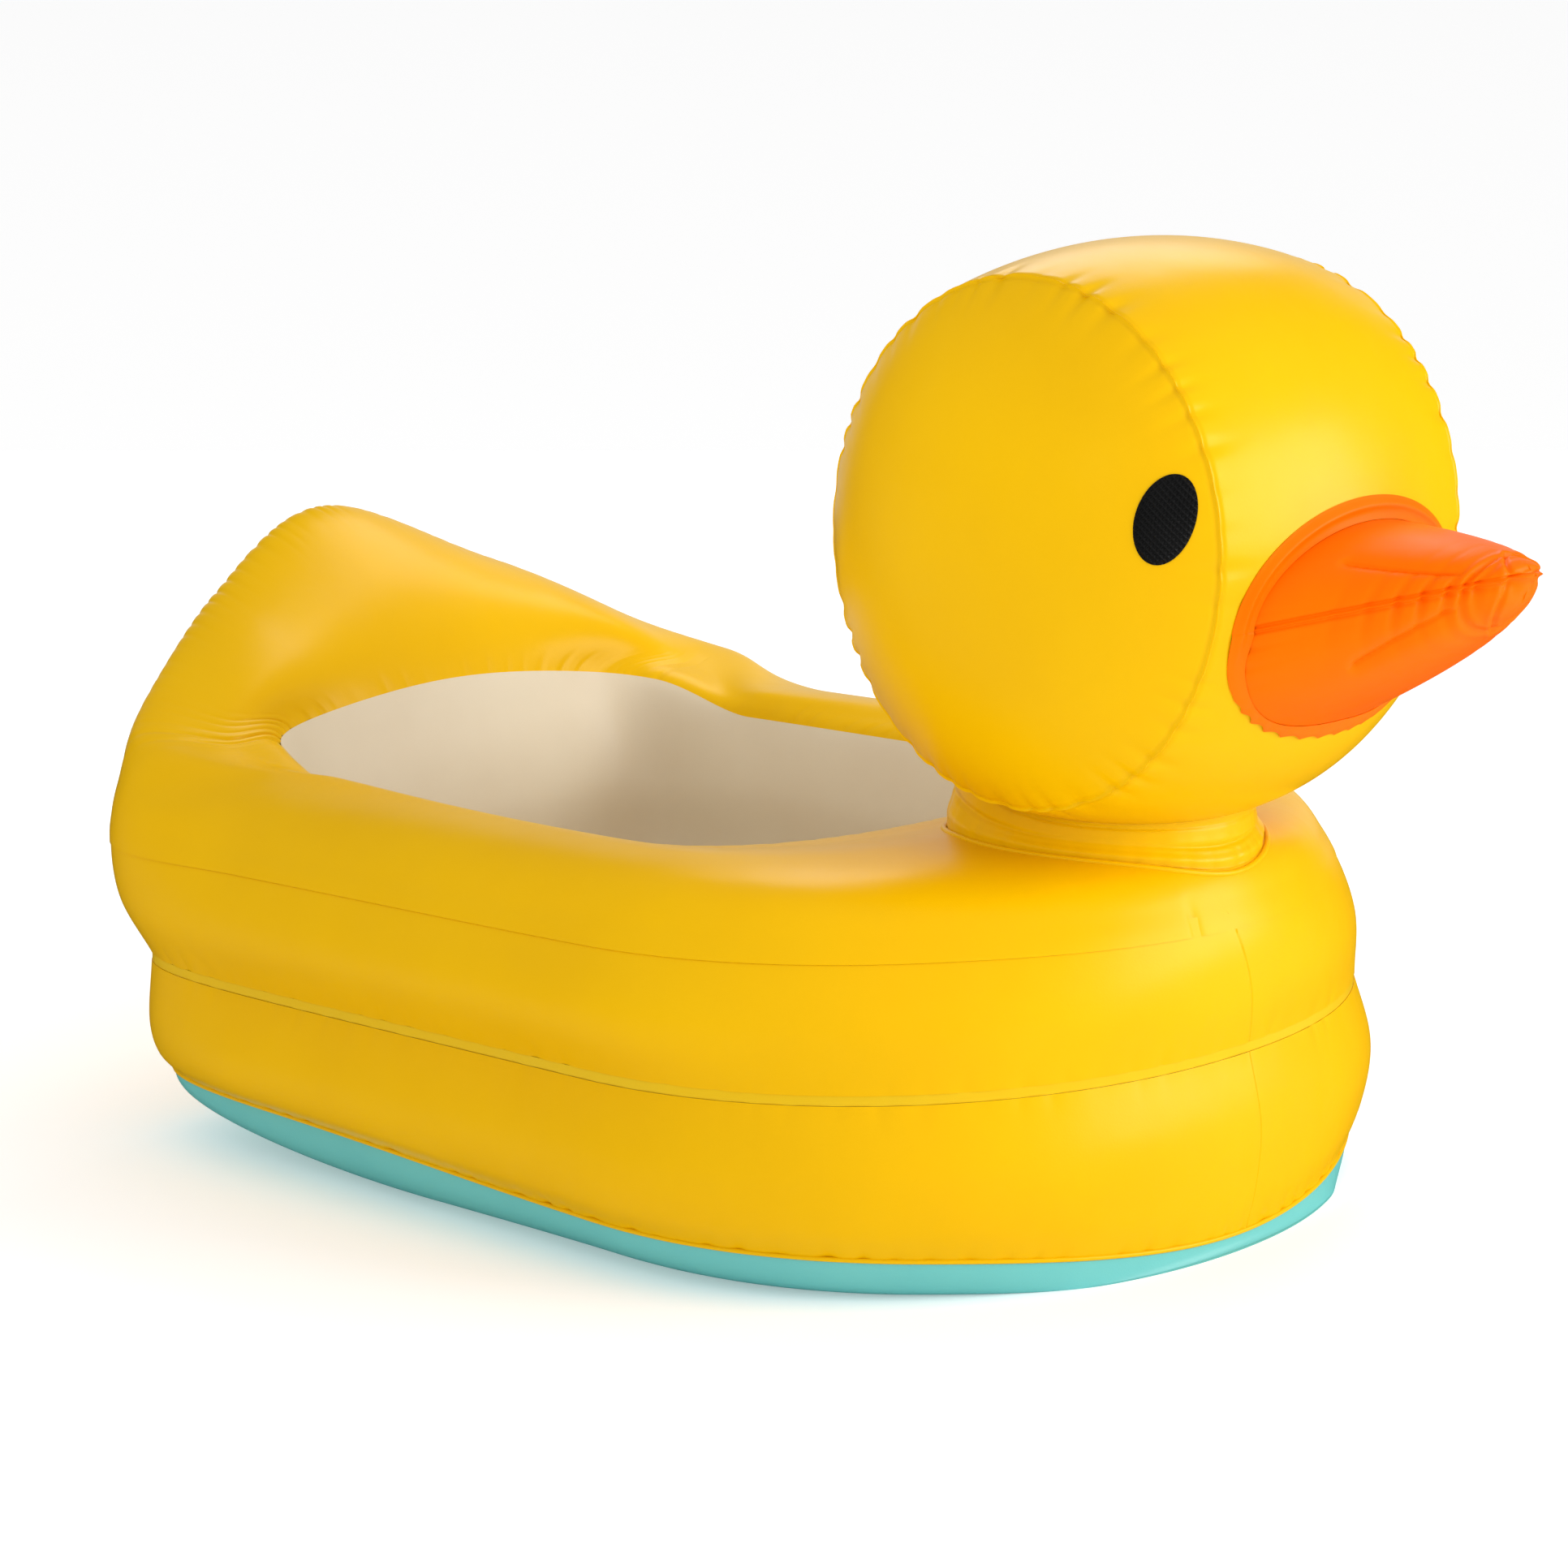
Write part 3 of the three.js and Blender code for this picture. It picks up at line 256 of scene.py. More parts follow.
STEM_PROFILE = ((0.0042, -0.0223), (0.0061, -0.0223), (0.0061, -0.0213), (0.0052, -0.0213),
                (0.0052, -0.0006), (0.0068, -0.0006), (0.0068, STEM_TOP), (0.0042, STEM_TOP))
FLAP_PROFILE = ((0, -0.0232), (0.0048, -0.0232), (0.0048, -0.0226), (0, -0.0226))
CAP_PROFILE = ((0, -0.0024), (0.0026, -0.0024), (0.0038, CAP_BOTTOM), (0.0058, CAP_BOTTOM),
               (0.0058, 0.0051), (0, 0.0051))

# How fine the sheets are
OUTLINE_STEPS = 7200
NORMAL_STEP = 0.004
BISECTIONS = 30
RING_COLUMNS = 1440
FRONT_FINENESS = 8
FRONT_FINE_SHARE = 0.008
TAIL_FINENESS = 0.6
TOP_ROWS, SIDE_ROWS, LINER_ROWS, LOWER_ROWS, BAND_ROWS = 90, 50, 50, 44, 6
TURN_ROWS, FLAT_ROWS, FLAT_END = 20, 40, 0.97
BASE_BEAD_SIDES, NECK_BEAD_SIDES = 10, 12
HEAD_COLUMNS = 480
DOME_ROWS, DOME_CROWDING = 60, 1.5
STRIP_ROWS, STRIP_CROWDING = 121, 1.6
NECK_COLUMNS, NECK_ROWS = 480, 60
EYE_COLUMNS = 96
BEAK_COLUMNS, BEAK_ROWS, BEAK_CROWDING = 220, 170, 1.5
FLANGE_COLUMNS, FLANGE_ROWS = 720, 26

# Vinyl: scales of its noise, depths of its relief, and its looks
DRIFT_SCALE, DRIFT_DETAIL, DRIFT_RANGE = 9, 4, (0.35, 0.65)
CLOUD_SCALE, CLOUD_DETAIL = 60, 3
PORE_SCALE, PORE_DEPTH = 1100, 0.0002
RIPPLE_SCALE, RIPPLE_DETAIL, RIPPLE_STRENGTH, RIPPLE_DEPTH = 32, 2, 0.35, 0.0008
WEAVE_TURN, WEAVE_SCALE, WEAVE_STRENGTH, WEAVE_DEPTH = radians(40), 150, 0.9, 0.0012
VINYL_IOR = 1.5
YELLOW_GLOSS = (1.0, 0.88, 0.45)
ORANGE_GLOSS = (1.0, 0.60, 0.25)
VINYL_LOOKS = {
    "yellow_vinyl": dict(colour=(0.82, 0.465, 0), shade=(0.79, 0.44, 0),
                         gloss_tint=YELLOW_GLOSS),
    "weld_vinyl": dict(colour=(0.78, 0.48, 0.006), shade=(0.74, 0.48, 0.012),
                       gloss_tint=YELLOW_GLOSS),
    "white_vinyl": dict(colour=(0.74, 0.65, 0.49), shade=(0.71, 0.61, 0.45), roughness=0.40),
    "aqua_vinyl": dict(colour=(0.155, 0.53, 0.51), shade=(0.14, 0.50, 0.49)),
    "orange_vinyl": dict(colour=(0.98, 0.17, 0), shade=(0.94, 0.14, 0), roughness=0.38,
                         gloss_level=0.12, gloss_tint=ORANGE_GLOSS),
    "black_vinyl": dict(colour=(0.004, 0.004, 0.004), shade=(0.010, 0.010, 0.010),
                        roughness=0.36, grain=0.5, gloss_level=0.25),
    "clear_vinyl": dict(colour=(0.80, 0.79, 0.74), shade=(0.74, 0.73, 0.68), roughness=0.28,
                        gloss_level=0.5, see_through=0.4),
}

# Studio
FLOOR_REACH = 400
FLOOR_COLOUR = (0.90, 0.90, 0.90, 1)
FLOOR_ROUGHNESS = 0.9
FLOOR_GLOW = 0.26
WHITE = (1, 1, 1, 1)
WORLD_LIGHT = 0.66
WORLD_SPREAD = 0.40
WORLD_AXIS = (0.50, -0.45, 0.74)

# Camera at the photograph's place
CAMERA_PLACE = (1.4123, -1.6607, 0.638)
CAMERA_AIM = (-0.0443, -0.0020, 0.2029)
CAMERA_LENS = 92.24
CAMERA_SENSOR = 36

# Arc shares from the front (0) over the side to the rear (1)
FRONT, BOW, BREAST, SIDE, HIP, CORNER, FLANK, REAR = 0, 0.1, 0.2, 0.42, 0.64, 0.75, 0.89, 1


def smooth_step(value):
    part = np.clip(value, 0, 1)
    return part * part * (3 - 2 * part)


def mix(start, end, part):
    return start + (end - start) * part


def unit(vectors):
    return vectors / np.linalg.norm(vectors, axis=-1, keepdims=True)


def bell(value, middle, spread):
    """One at the middle, fading to nothing on both sides."""
    return np.exp(-((value - middle) / spread) ** 2)


def turn_bell(angle, middle, spread):
    """A bell round a middle angle, whose ends meet half a turn away."""
    turn = angle - middle
    return bell(np.arctan2(np.sin(turn), np.cos(turn)), 0, spread)


def full_turn(count):
    return np.linspace(0, 2 * pi, count, endpoint=False)


# Outlines in plan
def along_side(share):
    """How far a share round the loop lies from the front (0) to the rear (1)."""
    around = np.mod(share, 1)
    return np.where(around > 0.5, 2 - 2 * around, 2 * around)


def plan_outline(middle_x, front_reach, rear_reach, half_width, front_squareness,
                 rear_squareness):
    angle = np.linspace(0, pi, OUTLINE_STEPS + 1)
    front = np.cos(angle) >= 0
    reach = np.where(front, front_reach, rear_reach)
    power = 1 / (1 - np.where(front, front_squareness, rear_squareness))
    size = (np.abs(np.cos(angle)) ** power + np.sin(angle) ** power) ** (-1 / power)
    x = middle_x + reach * np.cos(angle) * size
    y = half_width * np.sin(angle) * size
    length = np.concatenate([[0], np.cumsum(np.hypot(np.diff(x), np.diff(y)))])
    length /= length[-1]

    def at(share):
        along = along_side(share)
        side = np.where(np.mod(share, 1) > 0.5, -1, 1)
        return np.stack([np.interp(along, length, x), side * np.interp(along, length, y)], -1)
    return at


waist_outline = plan_outline(*WAIST_OUTLINE)
basin_outline = plan_outline(*BASIN_OUTLINE)
floor_outline = plan_outline(*FLOOR_OUTLINE)
RING_LENGTH = np.linalg.norm(np.diff(waist_outline(np.linspace(0, 1, OUTLINE_STEPS)), axis=0),
                             axis=1).sum()


def ring_value(stops):
    """A smooth value between stops at arc shares, level at both ends."""
    places, values = np.array(list(stops.items()), float).T
    rise = np.diff(values) / np.diff(places)
    slope = np.zeros(len(stops))
    for i in range(1, len(stops) - 1):
        if rise[i - 1] * rise[i] > 0:
            slope[i] = 2 * rise[i - 1] * rise[i] / (rise[i - 1] + rise[i])

    def at(share):
        along = along_side(share)
        end = np.clip(np.searchsorted(places, along), 1, len(stops) - 1)
        run = places[end] - places[end - 1]
        part = (along - places[end - 1]) / run
        return (mix(values[end - 1], values[end], part * part * (3 - 2 * part))
                + slope[end - 1] * run * part * (1 - part) ** 2
                - slope[end] * run * part ** 2 * (1 - part))
    return at


def outward_of(outline, share):
    along = outline(share + NORMAL_STEP) - outline(share - NORMAL_STEP)
    return unit(np.stack([along[..., 1], -along[..., 0]], -1))


def raised(place, height):
    height = np.broadcast_to(height, place.shape[:-1])
    return np.concatenate([place, height[..., None]], -1)


def waist_point(share, reach, height):
    reach = np.broadcast_to(reach, share.shape)[..., None]
    return raised(waist_outline(share) + outward_of(waist_outline, share) * reach, height)


def basin_point(share, lean, reach, height):
    place = mix(basin_outline(share), floor_outline(share), lean)
    return raised(place - outward_of(basin_outline, share) * reach, height)


def ring_width(share):
    return np.linalg.norm(waist_outline(share) - basin_outline(share), axis=-1)


def section_point(share, inset, height):
    """A point inside the waist: square to it at first, towards the basin further in."""
    square = waist_point(share, -inset, height)
    part = smooth_step(inset / ring_width(share))[..., None]
    start = waist_outline(share)
    inward = unit(basin_outline(share) - start)
    inset = np.broadcast_to(inset, share.shape)[..., None]
    return mix(square, raised(start + inward * inset, height), part)


crest_height = ring_value({FRONT: 0.210, SIDE: 0.211, HIP: 0.211, CORNER: 0.222, FLANK: 0.286,
    REAR: 0.327})
crest_inset = ring_value({FRONT: 0.120, SIDE: 0.066, HIP: 0.082, CORNER: 0.002, REAR: -0.092})
top_seam_inset = ring_value({FRONT: 0, BREAST: 0.015, SIDE: 0.003, HIP: -0.003, CORNER: -0.020,
    REAR: -0.044})
upper_bulge = ring_value({FRONT: 0.006, BREAST: -0.001, SIDE: 0.015, HIP: 0.015, CORNER: 0.017,
    REAR: 0.032})
rim_seam_height = ring_value({FRONT: 0.201, SIDE: 0.197, HIP: 0.197, CORNER: 0.215,
    REAR: 0.232})
lower_bulge = ring_value({FRONT: 0.008, SIDE: 0.013, HIP: 0.013, CORNER: 0.002, REAR: 0.008})
base_seam_height = ring_value({FRONT: 0.008, BREAST: 0.0225, SIDE: 0.030, HIP: 0.039,
    REAR: 0.043})
base_seam_inset = ring_value({FRONT: 0, SIDE: 0.006, REAR: 0.013})
base_foot_inset = ring_value({FRONT: -0.004, BOW: -0.001, BREAST: 0.022, SIDE: 0.056,
    REAR: 0.026})
shoulder_share = ring_value({FRONT: 0.15, BREAST: 0.22, SIDE: 0.3, HIP: 0.3, CORNER: 0.22,
    REAR: 0.5})
shoulder_fullness = ring_value({FRONT: 0.85, BREAST: 0.66, SIDE: 0.74, HIP: 0.74, CORNER: 0.5,
    REAR: 0.5})


def lifted(points, height=0.0):
    """The points at a height over the underside, which rises behind its flat part."""
    part = np.maximum(0, (FLAT_REAR_X - points[..., 0])
                      / (FLAT_REAR_X - BASIN_MIDDLE_X + BASIN_REAR_REACH))
    return raised(points[..., :2], BASE_REAR_LIFT * part ** 2 + height)


def upper_knots(share):
    """Knots of the upper section: waist, outer side, crest, rim, liner and floor."""
    rise = crest_height(share) - TOP_SEAM_HEIGHT
    slope = crest_inset(share) - top_seam_inset(share)
    fall = crest_height(share) - rim_seam_height(share)
    inner_run = ring_width(share) - crest_inset(share)
    return np.stack([
        section_point(share, np.zeros_like(share), BAND_TOP),
        section_point(share, -upper_bulge(share), UPPER_BULGE_HEIGHT),
        section_point(share, top_seam_inset(share), TOP_SEAM_HEIGHT),
        section_point(share, top_seam_inset(share) + slope * shoulder_share(share),
                      TOP_SEAM_HEIGHT + rise * shoulder_fullness(share)),
        section_point(share, crest_inset(share), crest_height(share)),
        section_point(share, crest_inset(share) + inner_run * INNER_SLOPE_RUN,
                      crest_height(share) - fall * INNER_SLOPE_FALL),
        basin_point(share, 0, 0, rim_seam_height(share)),
        basin_point(share, LINER_UPPER_LEAN, LINER_BULGE, LINER_UPPER_BULGE_HEIGHT),
        basin_point(share, LINER_WAIST_LEAN, LINER_WAIST_BULGE, WAIST_HEIGHT),
        basin_point(share, 1, LINER_BULGE, LINER_LOWER_BULGE_HEIGHT),
        lifted(basin_point(share, 1, 0, 0), FLOOR_HEIGHT + SHEET),
    ])


def lower_knots(share):
    """Knots of the lower section, from the base seam up to the waist."""
    seam = base_seam_inset(share)
    height = base_seam_height(share)
    return np.stack([
        waist_point(share, -seam, height),
        waist_point(share, -mix(seam, -lower_bulge(share), LOWER_FOOT_REACH),
                    mix(height, LOWER_BULGE_HEIGHT, LOWER_FOOT_RISE)),
        waist_point(share, lower_bulge(share), LOWER_BULGE_HEIGHT),
        waist_point(share, 0, BAND_BOTTOM),
    ])


def curve_points(knots, place):
    """Points of a centripetal Catmull-Rom curve in each column, at places in knots."""
    ends = [2 * knots[0] - knots[1], 2 * knots[-1] - knots[-2]]
    padded = np.concatenate([ends[:1], knots, ends[1:]])
    start = np.clip(np.floor(place).astype(int), 0, len(knots) - 2)
    column = np.broadcast_to(np.arange(knots.shape[1]), place.shape)
    p = [padded[start + k, column] for k in range(4)]
    gap = [np.linalg.norm(p[k + 1] - p[k], axis=-1, keepdims=True) ** 0.5 for k in range(3)]
    middle = (p[2] - p[1]) / gap[1]
    first = (p[1] - p[0]) / gap[0] - (p[2] - p[0]) / (gap[0] + gap[1]) + middle
    second = middle - (p[3] - p[1]) / (gap[1] + gap[2]) + (p[3] - p[2]) / gap[2]
    first, second = first * gap[1], second * gap[1]
    t = (place - start)[..., None]
    return (p[1] + first * t + (3 * (p[2] - p[1]) - 2 * first - second) * t ** 2
            + (2 * (p[1] - p[2]) + first + second) * t ** 3)


def distance_from(knots, knot, places):
    """How far each place lies from a knot, measured along the curve of its column."""
    points = curve_points(knots, places)
    length = np.zeros(places.shape)
    length[1:] = np.cumsum(np.linalg.norm(np.diff(points, axis=0), axis=-1), axis=0)
    at_knot = np.array([np.interp(knot, places[:, j], length[:, j])
                        for j in range(places.shape[1])])
    return length - at_knot


def place_at(knots, knot, distance, span=1.0, count=60):
    """The place in each column that lies at a distance past a knot."""
    steps = np.linspace(max(knot - span, 0), min(knot + span, len(knots) - 1), count)
    places = np.repeat(steps[:, None], knots.shape[1], axis=1)
    lengths = distance_from(knots, knot, places)
    return np.array([np.interp(distance, lengths[:, j], steps)
                     for j in range(knots.shape[1])])


def rows_between(start, end, count):
    """Rows of places in all ring columns, from a start to an end."""
    start = np.broadcast_to(start, RING_COLUMNS)
    end = np.broadcast_to(end, RING_COLUMNS)
    part = np.linspace(0, 1, count)[:, None]
    return mix(start[None, :], end[None, :], part)


# Waves and folds
def loop_noise(share, low, high, seed):
    """Smooth noise round a closed loop, between about -1 and 1."""
    random = np.random.default_rng(seed)
    value = np.zeros(np.shape(share))
    for turns in range(low, high + 1):
        value = value + np.cos(2 * pi * turns * share + random.uniform(0, 2 * pi))
    return value / sqrt(high - low + 1)


def fold_wave(phase):
    """Narrow folds with wide smooth parts between them."""
    return (0.5 + 0.5 * np.cos(phase)) ** FOLD_SHARPNESS


def puckers(share, distance, count, depth, reach, seed):
    """Folds square to a seam that fade away from it. Depths are negative."""
    phase = FOLD_DRIFT * loop_noise(share, 3, count // 3, seed)
    variation = FOLD_VARIATION * loop_noise(share, 2, count // 3, seed + 1)
    strength = np.clip(FOLD_STRENGTH + variation, FOLD_LEAST, FOLD_MOST)
    wave = fold_wave(2 * pi * count * share + phase)
    return -depth * strength * wave * np.exp(-(np.abs(distance) / reach) ** FOLD_FADE)


def near(share, middle, spread):
    """One at a place along both sides of the rings, fading to nothing away from it."""
    return bell(1 - np.abs(1 - 2 * np.mod(share, 1)), middle, spread)


def groove(distance, place, depth, width):
    return -depth * bell(distance, place, width)


def overlap(share):
    """The step where the two ends of a side sheet overlap, in the middle of the front."""
    across = (np.mod(share + 0.5, 1) - 0.5) * RING_LENGTH
    lap = smooth_step(1 + across / OVERLAP_FADE) * smooth_step(1 - across / OVERLAP_STEP)
    return OVERLAP_LIFT * lap + groove(across, *OVERLAP_GROOVE)


def normals_of(points, wrap, flip=False):
    if wrap:
        along = np.roll(points, -1, axis=1) - np.roll(points, 1, axis=1)
    else:
        along = np.gradient(points, axis=1)
    across = np.gradient(points, axis=0)
    normal = unit(np.cross(along, across))
    return -normal if flip else normal


def displaced(points, relief, wrap=True, flip=False):
    return points + normals_of(points, wrap, flip) * relief[..., None]


# Meshes
def add_object(name, vertices, faces, slot, node, body="tub"):
    """A smooth piece of one vinyl, which rides a body and replaces a CAD node."""
    mesh = bpy.data.meshes.new(name)
    mesh.from_pydata(vertices.tolist(), [], faces)
    mesh.validate()
    piece = bpy.data.objects.new(name, mesh)
    scene.collection.objects.link(piece)
    mesh.materials.append(vinyls[slot])
    mesh.polygons.foreach_set("use_smooth", [True] * len(mesh.polygons))
    mesh.set_sharp_from_angle(angle=SHARP_ANGLE)
    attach(piece, body)
    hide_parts(node)
    return piece


def grid_faces(first, rows, columns, wrap, flip):
    faces = []
    last = columns if wrap else columns - 1
    for i in range(rows - 1):
        for j in range(last):
            k = (j + 1) % columns
            a, b = first + i * columns + j, first + i * columns + k
            c, d = first + (i + 1) * columns + k, first + (i + 1) * columns + j
            faces.append((a, d, c, b) if flip else (a, b, c, d))
    return faces


def closed_grid_faces(rows, columns):
    """Faces of a grid that closes on itself both ways."""
    last = (rows - 1) * columns
    return (grid_faces(0, rows, columns, True, False)
            + [(last + j, last + (j + 1) % columns, (j + 1) % columns, j)
               for j in range(columns)])


def sheet_mesh(points, thickness, wrap=True, flip=False, pole=None):
    """A closed thin sheet: its outer face is the grid of points, and a pole may close it."""
    rows, columns = points.shape[:2]
    normals = normals_of(points, wrap, flip)
    inner = points - normals * thickness
    vertices = np.concatenate([points.reshape(-1, 3), inner.reshape(-1, 3)])
    shift, end = rows * columns, (rows - 1) * columns
    faces = grid_faces(0, rows, columns, wrap, flip)
    faces += grid_faces(shift, rows, columns, wrap, not flip)
    around = [(j, (j + 1) % columns) for j in range(columns if wrap else columns - 1)]
    edges = [(a, b, flip) for a, b in around]
    if pole is None:
        edges += [(end + a, end + b, not flip) for a, b in around]
    if not wrap:
        for j, turned in ((0, not flip), (columns - 1, flip)):
            edges += [(a + j, a + columns + j, turned) for a in range(0, end, columns)]
    for a, b, turned in edges:
        face = (a, shift + a, shift + b, b)
        faces.append(face[::-1] if turned else face)
    if pole is not None:
        under = pole - unit(normals[-1].mean(0)) * thickness
        vertices = np.concatenate([vertices, [pole, under]])
        for a, b in around:
            for face in ((end + a, end + b, 2 * shift),
                         (shift + end + b, shift + end + a, 2 * shift + 1)):
                faces.append(face[::-1] if flip else face)
    return vertices, faces


def add_sheet(name, points, slot, node, thickness=SHEET, **form):
    return add_object(name, *sheet_mesh(points, thickness, **form), slot, node)


def tube_mesh(loop, radius, sides):
    """A closed ring of round section."""
    along = unit(np.roll(loop, -1, axis=0) - np.roll(loop, 1, axis=0))
    outward = unit(np.cross(along, [0.0, 0.0, 1.0]))
    up = np.cross(outward, along)
    angle = full_turn(sides)
    ring = (outward[:, None] * np.cos(angle)[None, :, None]
            + up[:, None] * np.sin(angle)[None, :, None])
    points = loop[:, None] + ring * radius
    return points.reshape(-1, 3), closed_grid_faces(len(loop), sides)


# Materials
def set_inputs(node, **values):
    """Sets inputs of a node. A name with _ stands for one with spaces."""
    for name, value in values.items():
        node.inputs[name.replace("_", " ")].default_value = value


def add_node(nodes, kind, **values):
    node = nodes.new("ShaderNode" + kind)
    set_inputs(node, **values)
    return node


def join(start, output, end, socket):
    start.id_data.links.new(start.outputs[output], end.inputs[socket])


def vinyl(name, colour, shade, roughness=0.30, grain=0.12, spread=0.08,
          gloss_level=0.22, gloss_tint=(1.0, 1.0, 1.0), see_through=0.0):
    """Soft vinyl: its colour drifts a little, and a fine grain breaks up the gloss."""
    material = bpy.data.materials.new(name)
    material.use_nodes = True
    nodes = material.node_tree.nodes
    shader = nodes["Principled BSDF"]
    place = add_node(nodes, "TexCoord")
    drift = add_node(nodes, "TexNoise", Scale=DRIFT_SCALE, Detail=DRIFT_DETAIL)
    ramp = add_node(nodes, "MapRange", From_Min=DRIFT_RANGE[0],
                    From_Max=DRIFT_RANGE[1])
    tint = add_node(nodes, "Mix")
    tint.data_type = "RGBA"
    set_inputs(tint, A=(*colour, 1), B=(*shade, 1))
    cloud = add_node(nodes, "TexNoise", Scale=CLOUD_SCALE, Detail=CLOUD_DETAIL)
    gloss = add_node(nodes, "MapRange", To_Min=roughness - spread / 2,
                     To_Max=roughness + spread / 2)
    pores = add_node(nodes, "TexVoronoi", Scale=PORE_SCALE)
    ripple = add_node(nodes, "TexNoise", Scale=RIPPLE_SCALE, Detail=RIPPLE_DETAIL)
    fine = add_node(nodes, "Bump", Strength=grain, Distance=PORE_DEPTH)
    soft = add_node(nodes, "Bump", Strength=RIPPLE_STRENGTH, Distance=RIPPLE_DEPTH)
    for texture in (drift, cloud, pores, ripple):
        join(place, "Object", texture, "Vector")
    join(drift, "Fac", ramp, "Value")
    join(ramp, "Result", tint, "Factor")
    join(tint, "Result", shader, "Base Color")
    join(cloud, "Fac", gloss, "Value")
    join(gloss, "Result", shader, "Roughness")
    join(ripple, "Fac", soft, "Height")
    join(soft, "Normal", fine, "Normal")
    join(pores, "Distance", fine, "Height")
    join(fine, "Normal", shader, "Normal")
    set_inputs(shader, IOR=VINYL_IOR, Specular_IOR_Level=gloss_level,
               Specular_Tint=(*gloss_tint, 1), Transmission_Weight=see_through)
    return material


def add_weave(material):
    """A fine embossed weave: two sets of ridges that cross, over the soft relief."""
    nodes = material.node_tree.nodes
    shader = nodes["Principled BSDF"]
    place = nodes["Texture Coordinate"]
    crossing = add_node(nodes, "Math")
    crossing.operation = "MAXIMUM"
    for socket, turn in enumerate((-WEAVE_TURN, WEAVE_TURN)):
        mapping = add_node(nodes, "Mapping", Rotation=(0, turn, 0))
        wave = add_node(nodes, "TexWave", Scale=WEAVE_SCALE)
        join(place, "Object", mapping, "Vector")
        join(mapping, "Vector", wave, "Vector")
        join(wave, "Fac", crossing, socket)
    bump = add_node(nodes, "Bump", Strength=WEAVE_STRENGTH, Distance=WEAVE_DEPTH)
    join(crossing, "Value", bump, "Height")
    join(shader.inputs["Normal"].links[0].from_node, "Normal", bump, "Normal")
    join(bump, "Normal", shader, "Normal")


vinyls = {name: vinyl(name, **look) for name, look in VINYL_LOOKS.items()}
add_weave(vinyls["black_vinyl"])


# Air valves
def valve_frame(name):
    """The middle of a valve, and its directions along the panel, up it and out of it."""
    joints = {joint["name"]: joint for joint in frame["joints"]}
    hinge = joints[name + "_cap_hinge"]
    out = unit(np.array(joints[name + "_valve_pull"]["axis"]))
    up = -unit(np.array(hinge["axis"]))
    along = unit(np.cross(up, out))
    middle = np.array(hinge["pos_m"]) + HINGE_REACH * along - HINGE_HEIGHT * out
    return middle, np.stack([along, np.cross(out, along), out])


def with_valve_place(points, name):
    """The panel with a flat place for a valve, and a deep pocket hidden by its flange."""
    middle, axes = valve_frame(name)
    local = (points - middle) @ axes.T
    radius = np.hypot(local[..., 0], local[..., 1])
    height = mix(VALVE_PLACE_HEIGHT, local[..., 2],
                 smooth_step((radius - VALVE_PLACE_RADIUS) / VALVE_PLACE_FADE))
    height = np.where(radius < POCKET_RADIUS, -POCKET_DEPTH, height)
    close = np.abs(local[..., 2]) < POCKET_DEPTH
    local[..., 2] = np.where(close, height, local[..., 2])
    return local @ axes + middle


def rounded(profile, closed):
    """A profile whose corners are cut by small rounds. An open one starts and ends sharp."""
    points = np.array(profile)
    result = []
    for i, corner in enumerate(points):
        if not closed and i in (0, len(points) - 1):
            result.append(corner)
            continue
        start = corner + VALVE_ROUND * unit(points[i - 1] - corner)
        end = corner + VALVE_ROUND * unit(points[(i + 1) % len(points)] - corner)
        result += [start, mix((start + end) / 2, corner, VALVE_ROUND_FULLNESS), end]
    return result


def turned_mesh(profile, closed):
    """A round piece from a profile of radius and height, which runs outward, then up."""
    angle = full_turn(VALVE_SIDES)
    profile = rounded(profile, closed)
    if not closed:
        profile = profile[1:-1]
    vertices = np.concatenate([np.stack([radius * np.cos(angle), radius * np.sin(angle),
                                         height + 0 * angle], -1)
                               for radius, height in profile])
    if closed:
        return vertices, closed_grid_faces(len(profile), VALVE_SIDES)
    last = len(vertices) - VALVE_SIDES
    return vertices, (grid_faces(0, len(profile), VALVE_SIDES, True, False)
                      + [tuple(range(VALVE_SIDES))[::-1],
                         tuple(range(last, last + VALVE_SIDES))])


def with_bar(vertices, faces, bottom):
    """The piece with a flat bar of the tether, from the wall of the stem to the hinge."""
    half = TETHER_WIDTH / 2
    corners = [(x, y, z) for z in (bottom, bottom + TETHER_THICKNESS)
               for x, y in ((TETHER_START, -half), (TETHER_END, -half), (TETHER_END, half),
                            (TETHER_START, half))]
    bar = [(3, 2, 1, 0), (4, 5, 6, 7), (0, 1, 5, 4), (1, 2, 6, 5), (2, 3, 7, 6), (3, 0, 4, 7)]
    first = len(vertices)
    return (np.concatenate([vertices, corners]),
            faces + [tuple(first + i for i in face) for face in bar])


def add_valve(name):
    seat = turned_mesh(SEAT_PROFILE, True)
    stem = with_bar(*turned_mesh(STEM_PROFILE, True), STEM_TOP - TETHER_THICKNESS)
    flap = turned_mesh(FLAP_PROFILE, False)
    cap = with_bar(*turned_mesh(CAP_PROFILE, False), CAP_BOTTOM)
    middle, axes = valve_frame(name)
    for part, body, (vertices, faces) in (
            ("seat", "tub", seat), ("stem", name + "_stem", stem),
            ("flap", name + "_stem", flap), ("cap", name + "_cap", cap)):
        add_object(name + "_air_" + part, vertices @ axes + middle, faces, "clear_vinyl",
                   name + "_valve_" + part, body)


